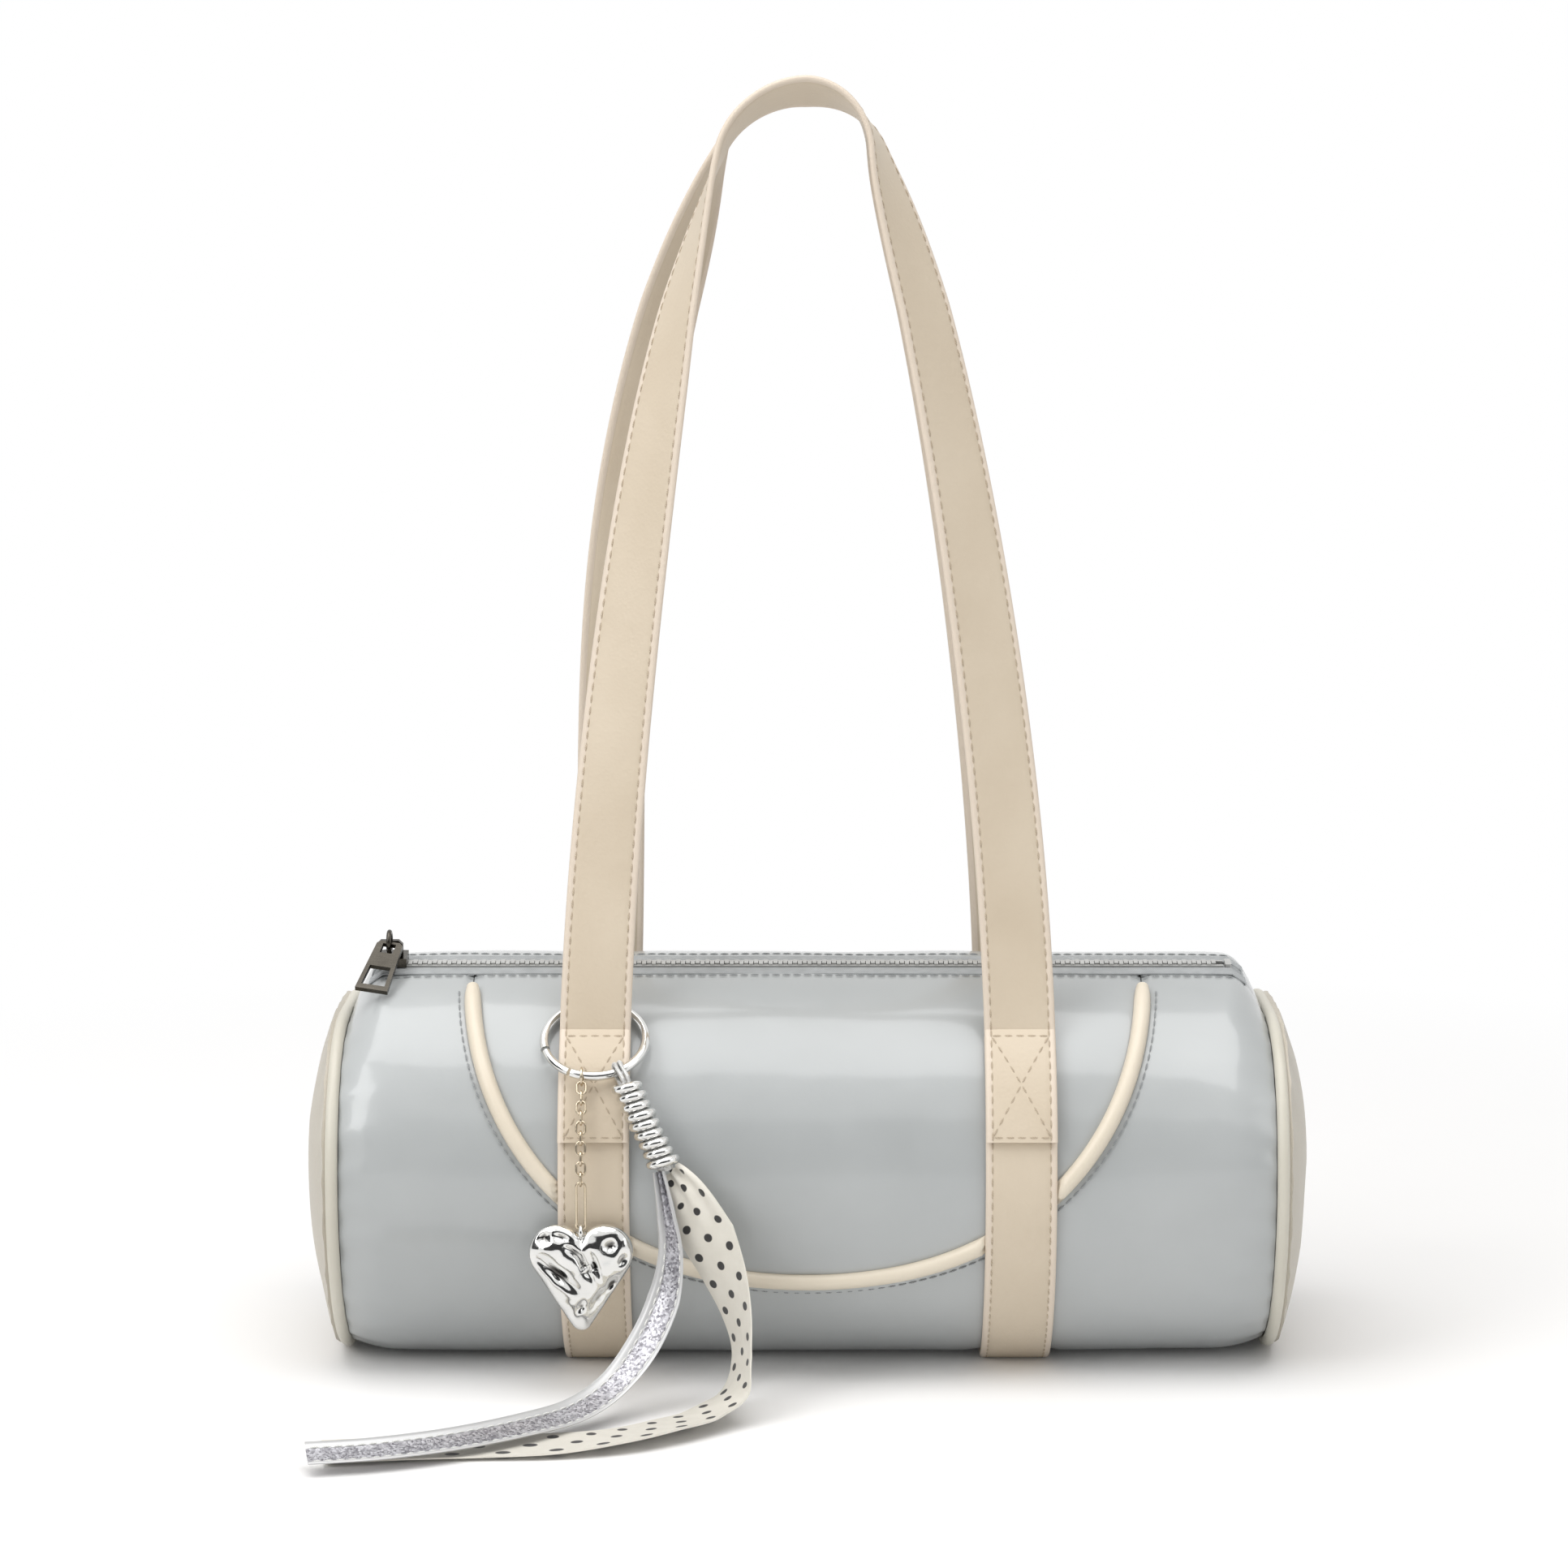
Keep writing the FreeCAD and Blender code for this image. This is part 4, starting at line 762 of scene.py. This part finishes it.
# Ribbons' routes: middle in millimetres, direction across
SILVER_ROUTE = [
    ((-39, -69, 54), (0.95, -0.30, 0.10)), ((-37.6, -69.5, 42), (0.92, -0.38, 0.10)),
    ((-39.5, -72, 30), (0.88, -0.45, -0.15)), ((-45, -77, 18.5), (0.72, -0.55, -0.42)),
    ((-53, -85, 9.5), (0.55, -0.75, -0.36)), ((-63, -95.5, 5.2), (0.50, -0.80, -0.34)),
    ((-76, -108, 4.8), (0.45, -0.83, -0.33)), ((-94, -121, 4.8), (0.35, -0.88, -0.32)),
    ((-114, -130, 4.8), (0.22, -0.92, -0.32)), ((-131.5, -134, 4.8), (0.18, -0.93, -0.32))]
DOTTED_ROUTE = [
    ((-32, -68.5, 58), (0.82, -0.50, 0.28)), ((-27.5, -70.5, 48), (0.76, -0.58, 0.28)),
    ((-22.5, -72.5, 37), (0.62, -0.75, 0.22)), ((-19, -75, 26), (0.42, -0.90, 0.10)),
    ((-17.8, -78, 15), (0.24, -0.97, 0)), ((-20.5, -83, 6.5), (0.22, -0.97, 0.05)),
    ((-28.5, -91, 2.8), (0.30, -0.94, 0.14)), ((-39, -101, 2.5), (0.36, -0.92, 0.15)),
    ((-52, -109.5, 2.1), (0.33, -0.93, 0.11)), ((-68, -113.5, 1.3), (0.24, -0.97, 0.03)),
    ((-88, -114.5, 0.9), (0.20, -0.98, 0)), ((-108, -116.5, 0.9), (0.20, -0.98, 0)),
    ((-129, -119.5, 0.9), (0.20, -0.98, 0))]


def through(points, place):
    """A smooth run through points; place counts them from the first."""
    low = min(int(place), len(points) - 2)
    share = place - low
    before, a = points[max(low - 1, 0)], points[low]
    b, after = points[low + 1], points[min(low + 2, len(points) - 1)]
    lead, trail = (b - before) / 2, (after - a) / 2
    cube, square = share**3, share**2
    return (a * (2 * cube - 3 * square + 1) + lead * (cube - 2 * square + share)
            + b * (3 * square - 2 * cube) + trail * (cube - square))


def make_ribbon(name, route, beside, rim, flare, material, slot, flat, thread=None):
    """A cut ribbon, gathered under the wound wire, hanging and then trailing on the floor."""
    start = COIL_TOP + COIL_DOWN * 24.6 * MM + Vector(beside) * MM
    middles = [start] + [Vector(middle) * MM for middle, across in route]
    sides = [Vector(route[0][1])] + [Vector(across) for middle, across in route]
    half, last, per_leg = flat[0] / 2, len(middles) - 1, 12
    rows, columns = per_leg * last, 24
    frames = []
    for row in range(rows + 1):
        place = row / per_leg
        ahead, behind = through(middles, min(place + 0.05, last)), through(middles, max(place - 0.05, 0))
        tangent = (ahead - behind).normalized()
        face = tangent.cross(through(sides, place)).normalized()
        frames.append((through(middles, place), face.cross(tangent).normalized(), face))

    def spot(side, number):
        middle, across, face = frames[number]
        run = number / per_leg
        width = 0.3 + 0.7 * min(run / flare, 1) ** 1.1
        pucker = (1 - min(run / 2.2, 1)) * 0.8 * MM * cos(side * pi * 2.5)
        curl = 0.35 * MM * side * side * min(run / 3, 1)
        roll = rim * MM * (bell(side + 0.72, 0.2) + 0.7 * bell(side - 0.9, 0.12))
        return middle + across * (side * half * width) + face * (pucker + curl + roll)

    ribbon = laid(name, columns, rows, lambda u, v: spot(2 * u - 1, round(v * rows)))
    close_seams(thicken(ribbon, 0.45 * MM, 0), FINE_REACH)
    dress(smooth(ribbon), [slot[1]], material, "tassel")
    hems = []
    if thread:
        lines = [[(spot(side, number) + frames[number][2] * 0.3 * MM, frames[number][2])
                  for number in range(20, rows)] for side in (-0.5, 0.76)]
        hems = [dress(sew(f"{name}_stitches", lines, 3.1 * MM), [], thread, "tassel")]


# Finishes


def tone(*levels):
    """A colour as it is seen, 11 to 255 each, as the shader takes it."""
    return tuple(((level / 255 + 0.055) / 1.055) ** 2.4 for level in levels) + (1,)


def feed(socket, value):
    """Gives a socket a number, a colour or another socket."""
    if isinstance(value, bpy.types.NodeSocket):
        socket.id_data.links.new(value, socket)
    else:
        socket.default_value = value


def node(tree, kind, values=None, **settings):
    """Adds a shader node with its options and what its sockets are given."""
    made = tree.nodes.new(f"ShaderNode{kind}")
    for key, value in settings.items():
        setattr(made, key, value)
    for key, value in (values or {}).items():
        feed(made.inputs[key], value)
    return made


def output(tree, kind, values=None, **settings):
    return node(tree, kind, values, **settings).outputs[0]


def wire(shader, **values):
    """Gives values to a node's sockets by name."""
    for label, value in values.items():
        feed(shader.inputs[label.replace("_", " ").title()], value)


def own_place(tree):
    return node(tree, "TexCoord").outputs["Object"]


def own_map(tree):
    """Shares across and along a piece."""
    return node(tree, "SeparateXYZ", {0: output(tree, "UVMap")}).outputs


def clouds(spot, scale, detail):
    return output(spot.id_data, "TexNoise", {"Vector": spot, "Scale": scale, "Detail": detail})


def calc(operation, *values):
    """Adds a sum to the tree of its first value, a socket."""
    return output(values[0].id_data, "Math", dict(enumerate(values)), operation=operation)


def times(first, second):
    return calc("MULTIPLY", first, second)


def mix(share, first, second):
    return node(share.id_data, "Mix", {0: share, 6: first, 7: second}, data_type="RGBA").outputs[2]


def spread(value, low, high, bottom=0.0, top=1.0):
    """Stretches a value between two limits."""
    values = {"Value": value, "From Min": low, "From Max": high, "To Min": bottom, "To Max": top}
    return output(value.id_data, "MapRange", values)


def effect(name, inputs, outputs):
    """A shader node group with named number inputs and outputs."""
    group = bpy.data.node_groups.new(name, "ShaderNodeTree")
    for label, value in inputs.items():
        group.interface.new_socket(label, in_out="INPUT", socket_type="NodeSocketFloat").default_value = value
    for label in outputs:
        group.interface.new_socket(label, in_out="OUTPUT", socket_type="NodeSocketFloat")
    return group, group.nodes.new("NodeGroupInput").outputs, group.nodes.new("NodeGroupOutput")


def leather_grain():
    """Fine pores and soft mottling of smooth leather."""
    group, given, put = effect("leather grain", {"Pore Scale": 900, "Mottle Scale": 30}, ["Height", "Shade"])
    spot = own_place(group)
    pores = node(group, "TexVoronoi", {"Vector": spot, "Scale": given[0]}).outputs["Distance"]
    height = calc("ADD", times(pores, 0.6), clouds(spot, 420, 4))
    wire(put, height=height, shade=spread(clouds(spot, given[1], 5), 0.3, 0.7))
    return group


def patent_skin():
    """Slow waves of a coated soft wall, a fine orange peel and faint clouding."""
    group, given, put = effect("patent skin", {"Wave Scale": 24, "Peel Scale": 700}, ["Height", "Peel", "Shade"])
    spot = own_place(group)
    wire(put, height=clouds(spot, given[0], 2), peel=clouds(spot, given[1], 2),
         shade=spread(clouds(spot, 14, 4), 0.3, 0.7))
    return group


def woven_cloth():
    """Over-and-under threads counted along the piece's own map."""
    group, given, put = effect("woven cloth", {"Across": 40, "Along": 400}, ["Height", "Shade"])
    split = own_map(group)
    threads = [calc("SINE", times(split[way], given[way])) for way in (0, 1)]
    slub = clouds(own_place(group), 260, 4)
    weave = times(times(*threads), 0.5)
    wire(put, height=calc("ADD", weave, slub), shade=slub)
    return group


def rubbed_metal():
    """Fine rubbing marks and a few longer scratches of plated metal."""
    group, given, put = effect("rubbed metal", {"Mark Scale": 300}, ["Marks", "Shade"])
    spot = own_place(group)
    drawn = output(group, "Mapping", {"Vector": spot, "Scale": (1, 1, 9)})
    marks = clouds(drawn, given[0], 6)
    wire(put, marks=spread(marks, 0.35, 0.7), shade=clouds(spot, 120, 3))
    return group


GRAIN, SKIN, WEAVE, RUBBED = leather_grain(), patent_skin(), woven_cloth(), rubbed_metal()


def new_finish(name):
    material = bpy.data.materials.new(name)
    material.use_nodes = True
    tree = material.node_tree
    return material, tree, tree.nodes["Principled BSDF"]


def use(tree, group, **values):
    placed = node(tree, "Group", node_tree=group)
    wire(placed, **values)
    return placed.outputs


def bump(height, strength, distance, **under):
    made = node(height.id_data, "Bump")
    wire(made, height=height, strength=strength, distance=distance, **under)
    return made.outputs[0]


def patent_finish():
    material, tree, shader = new_finish("pale grey patent")
    skin = use(tree, SKIN)
    colour = mix(skin["Shade"], tone(163, 166, 166), tone(175, 178, 178))
    normal = bump(skin["Peel"], 0.05, 0.0004, normal=bump(skin["Height"], 0.4, 0.004))
    wire(shader, base_color=colour, roughness=spread(skin["Shade"], 0, 1, 0.34, 0.42), normal=normal,
         coat_weight=0.75, coat_roughness=0.12)
    return material


def leather_finish(name, light, dark, rough, pore_scale=900, strength=0.25, edge=None):
    """Smooth leather; edge is the colour of a strap's turned edges."""
    material, tree, shader = new_finish(name)
    grain = use(tree, GRAIN, pore_scale=pore_scale)
    colour = mix(grain["Shade"], dark, light)
    if edge:
        one_side = calc("FRACT", times(own_map(tree)[0], 2.0))
        off_middle = calc("ABSOLUTE", calc("SUBTRACT", one_side, 0.47))
        colour = mix(spread(off_middle, 0.225, 0.245), colour, edge)
    roughness = spread(grain["Shade"], 0, 1, rough - 0.05, rough + 0.05)
    wire(shader, base_color=colour, roughness=roughness, normal=bump(grain["Height"], strength, 0.0003),
         coat_weight=0.12, coat_roughness=0.3)
    return material


def cloth_finish(name, light, dark, across, along, rough=0.85, sheen=0.15, metallic=0.0):
    """Woven cloth with so many threads across and along."""
    material, tree, shader = new_finish(name)
    cloth = use(tree, WEAVE, across=across, along=along)
    colour = mix(spread(cloth["Height"], 0.0, 1.0), dark, light)
    wire(shader, base_color=colour, normal=bump(cloth["Height"], 0.5, 0.0003), roughness=rough,
         sheen_weight=sheen, metallic=metallic)
    return material


def metal_finish(name, bright, dull, low, high, mark_scale=300, shaded_dent=None):
    """Plated metal; the last argument is a dark painted shade colour laid in the dents of a beaten piece,
    standing in for their shade and dark reflections.
    """
    material, tree, shader = new_finish(name)
    rubbed = use(tree, RUBBED, mark_scale=mark_scale)
    colour = mix(rubbed["Shade"], dull, bright)
    # Painted shade and reflection: the dents are darkened by the mask from make_heart
    if shaded_dent:
        inside = node(tree, "Attribute", attribute_name="shaded_dent").outputs["Fac"]
        colour = mix(spread(inside, 0.5, 0.85, 0.0, 0.9), colour, shaded_dent)
    wire(shader, base_color=colour, roughness=spread(rubbed["Marks"], 0, 1, low, high), metallic=1.0,
         normal=bump(rubbed["Marks"], 0.04, 0.0001))
    return material


def thread_finish(name, light, dark):
    """Twisted thread: slanting plies along each stitch."""
    material, tree, shader = new_finish(name)
    plies = node(tree, "TexWave", {"Vector": own_place(tree), "Scale": 900, "Distortion": 1.5},
                 bands_direction="DIAGONAL").outputs["Fac"]
    wire(shader, base_color=mix(plies, dark, light), normal=bump(plies, 0.5, 0.0002), roughness=0.6)
    return material


def dotted_finish():
    """Cream ribbon with black dots in staggered rows, in millimetres on its own map."""
    material, tree, shader = new_finish("cream ribbon with black dots")
    width, length, column_pitch, dot_pitch = 20, 189, 6.6, 10
    split = own_map(tree)
    across = times(split[0], width / column_pitch)
    shift = times(calc("MODULO", calc("FLOOR", across), 2.0), 0.5)
    along = calc("ADD", times(split[1], length / dot_pitch), shift)

    def off_dot(count, pitch):
        """Square of the distance from the nearest dot, one way."""
        off = times(calc("SUBTRACT", calc("FRACT", count), 0.5), pitch)
        return times(off, off)

    away = calc("SQRT", calc("ADD", off_dot(across, column_pitch), off_dot(along, dot_pitch)))
    dot = spread(away, 1.35, 1.6, 1.0, 0.0)
    cloth = use(tree, WEAVE, across=500, along=4700)
    ground = mix(cloth["Shade"], tone(212, 207, 195), tone(228, 224, 214))
    wire(shader, base_color=mix(dot, ground, tone(38, 36, 36)), roughness=0.55, sheen_weight=0.2,
         normal=bump(cloth["Height"], 0.25, 0.0002))
    return material


def silver_finish():
    """Silver ribbon: a smooth stitched half and a half covered in glitter."""
    material, tree, shader = new_finish("silver glitter ribbon")
    across = own_map(tree)[0]
    inner = calc("SUBTRACT", spread(across, 0.26, 0.30), spread(across, 0.88, 0.91))
    half = calc("MAXIMUM", inner, 0.0)
    flakes = node(tree, "TexVoronoi", {"Vector": own_place(tree), "Scale": 1700})
    flake = output(tree, "SeparateColor", {0: flakes.outputs["Color"]})
    glitter = mix(flake, tone(112, 110, 116), tone(208, 207, 212))
    facets = times(flake, half)
    wire(shader, base_color=mix(half, tone(194, 194, 194), glitter),
         roughness=spread(facets, 0, 1, 0.4, 0.3), metallic=spread(half, 0, 1, 0.3, 0.6),
         normal=bump(facets, 0.8, 0.0004))
    return material


def set_cad_finish(material, *names):
    for name in names:
        paint(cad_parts[name], material)


# Studio

AIM = (0, 0, 0.1)


def for_seeing(tree, lighting, seen):
    """One shader for what is seen, also in reflections, and another for the light it throws."""
    rays = node(tree, "LightPath").outputs
    share = calc("MAXIMUM", rays["Is Camera Ray"], rays["Is Glossy Ray"])
    share = calc("MAXIMUM", share, rays["Is Transmission Ray"])
    return output(tree, "MixShader", {0: share, 1: lighting, 2: seen})


def studio_floor():
    """White floor that keeps the bag's soft shadow."""
    bpy.ops.mesh.primitive_plane_add(size=12, location=(0, 0, 0))
    floor = bpy.context.object
    floor.name = "studio_floor"
    material, tree = new_finish("white paper floor")[:2]
    tree.nodes.clear()
    paper = output(tree, "BsdfDiffuse", {"Color": (0.8, 0.8, 0.8, 1)})
    away = node(tree, "VectorMath", {0: own_place(tree)}, operation="LENGTH").outputs["Value"]
    near = spread(away, 0.2, 0.6, 1.0, 0.0)
    shade = mix(near, (0, 0, 0, 1), (0.89, 0.88, 0.87, 1))
    lit = output(tree, "BsdfDiffuse", {"Color": shade})
    strength = spread(near, 0, 1, 1.0, 0.01)
    glow = output(tree, "Emission", {"Color": (1, 1, 1, 1), "Strength": strength})
    white = output(tree, "AddShader", {0: lit, 1: glow})
    node(tree, "OutputMaterial", {"Surface": for_seeing(tree, paper, white)})
    floor.data.materials.append(material)


def soft_lamp(name, place, width, height, power, target=AIM, mirrored=True):
    lamp = bpy.data.lights.new(name, "AREA")
    lamp.shape, lamp.size, lamp.size_y, lamp.energy = "RECTANGLE", width, height, power
    holder = added(name, lamp)
    holder.location = place
    holder.rotation_euler = (Vector(target) - Vector(place)).to_track_quat("-Z", "Y").to_euler()
    holder.visible_glossy = mirrored


def dark_flag(name, place, width, height):
    """A dark card that only shows in reflections."""
    bpy.ops.mesh.primitive_plane_add(size=1, location=place)
    flag = bpy.context.object
    flag.name, flag.scale = name, (width, height, 1)
    flag.rotation_euler = (Vector(AIM) - Vector(place)).to_track_quat("Z", "Y").to_euler()
    card, shader = new_finish("dark card")[::2]
    wire(shader, base_color=(0.03, 0.03, 0.032, 1))
    flag.data.materials.append(card)
    for sight in ("camera", "diffuse", "transmission", "volume_scatter", "shadow"):
        setattr(flag, f"visible_{sight}", False)


def studio():
    studio_floor()
    scene.world = world = bpy.data.worlds.new("studio")
    world.use_nodes = True
    tree = world.node_tree
    tree.nodes.clear()
    soft = output(tree, "Background", {"Color": (1, 1, 1, 1), "Strength": 0.46})
    white = output(tree, "Background", {"Color": (1, 1, 1, 1), "Strength": 1.0})
    node(tree, "OutputWorld", {"Surface": for_seeing(tree, soft, white)})
    soft_lamp("left_softbox", (-1.3, -1.1, 1.2), 1.0, 1.0, 12)
    soft_lamp("low_fill", (0, -1.7, 0.12), 1.6, 0.2, 3.2, target=(0, 0, 0.02), mirrored=False)
    soft_lamp("top_softbox", (-0.1, -0.3, 1.7), 2.2, 1.3, 24)
    soft_lamp("right_fill", (1.6, -0.9, 0.8), 0.9, 1.0, 2)
    dark_flag("flag_behind_camera", (0, -2.6, 0.7), 3.2, 1.6)
    dark_flag("flag_left", (-1.6, -0.6, 0.35), 1.0, 1.6)
    dark_flag("flag_right", (1.4, -1.5, 0.4), 0.8, 1.5)
    scene.view_settings.view_transform = "Standard"
    lens = bpy.data.cameras.new("photo_camera")
    lens.lens, lens.sensor_width, lens.shift_x, lens.clip_start = 98, 36, -0.015, 0.01
    scene.camera = camera = added("photo_camera", lens)
    camera.location = (0, -1.218, 0.3367)
    camera.rotation_euler = (radians(81.91), 0, 0)


def build():
    patent = patent_finish()
    strap = leather_finish("cream strap leather", tone(206, 192, 171), tone(198, 183, 161), 0.5,
                           edge=tone(215, 201, 184))
    trim = leather_finish("cream welt", tone(222, 212, 194), tone(214, 203, 184), 0.42, 1200, 0.15)
    # Painted shade: the end welts take a darker copy of the cream welt, since the ends face away from the light
    shaded_end_trim = leather_finish("cream end welt", tone(204, 200, 187), tone(196, 191, 177), 0.42, 1200, 0.15)
    end_leather = leather_finish("cream end leather", tone(188, 181, 167), tone(178, 171, 157), 0.45)
    cotton = cloth_finish("cotton lining", tone(196, 186, 168), tone(168, 158, 140), 900, 1600)
    tape = cloth_finish("zip tape", tone(184, 187, 188), tone(146, 149, 150), 120, 2600)
    strap_thread = thread_finish("beige thread", tone(196, 180, 158), tone(168, 152, 130))
    grey_thread = thread_finish("grey thread", tone(150, 153, 154), tone(126, 129, 130))
    bright = (tone(236, 236, 234), tone(214, 214, 212), 0.05, 0.16)
    chrome = metal_finish("bright plated metal", *bright)
    nickel = metal_finish("dull nickel", tone(206, 206, 204), tone(170, 170, 168), 0.55, 0.7)
    dark_metal = metal_finish("gunmetal", tone(88, 84, 77), tone(64, 61, 56), 0.2, 0.34, 500)
    cord = cloth_finish("silver cord", tone(238, 238, 236), tone(172, 171, 169), 60, 400, 0.36, 0, 0.45)
    studio()
    make_cover(patent)
    make_front_panel(patent)
    make_panel_piping(trim)
    make_end("left", -1, shaded_end_trim, end_leather)
    make_end("right", 1, shaded_end_trim, end_leather)
    make_lining(cotton)
    make_straps(strap, strap_thread)
    make_seam_stitches(grey_thread)
    make_zip_tapes(tape)
    # The beaten silver's dents get a dark painted shade colour
    make_heart(metal_finish("beaten silver", *bright, shaded_dent=tone(48, 45, 42)))
    make_cord_loop(cord)
    make_wound_wire(chrome)
    make_ribbon("silver_trail", SILVER_ROUTE, (-2.0, -1.2, 0), 0.6, 3.0, silver_finish(),
                ("silver_cloth", "silver_ribbon"), (0.010, 0.157),
                thread_finish("white thread", tone(238, 238, 234), tone(206, 206, 202)))
    make_ribbon("dotted_trail", DOTTED_ROUTE, (1.4, 0.9, 0), 0, 2.0, dotted_finish(),
                ("dotted_cloth", "dotted_ribbon"), (0.020, 0.189))
    warm = metal_finish("warm plated chain", tone(222, 210, 190), tone(190, 174, 148), 0.12, 0.26)
    set_cad_finish(chrome, "key_ring", "ring_gate")
    set_cad_finish(warm, "charm_chain", "chain_end_link")
    set_cad_finish(nickel, "front_zip_teeth", "back_zip_teeth", "zip_stops")
    set_cad_finish(dark_metal, "zip_slider", "zip_pull_link", "zip_pull_tab")


build()
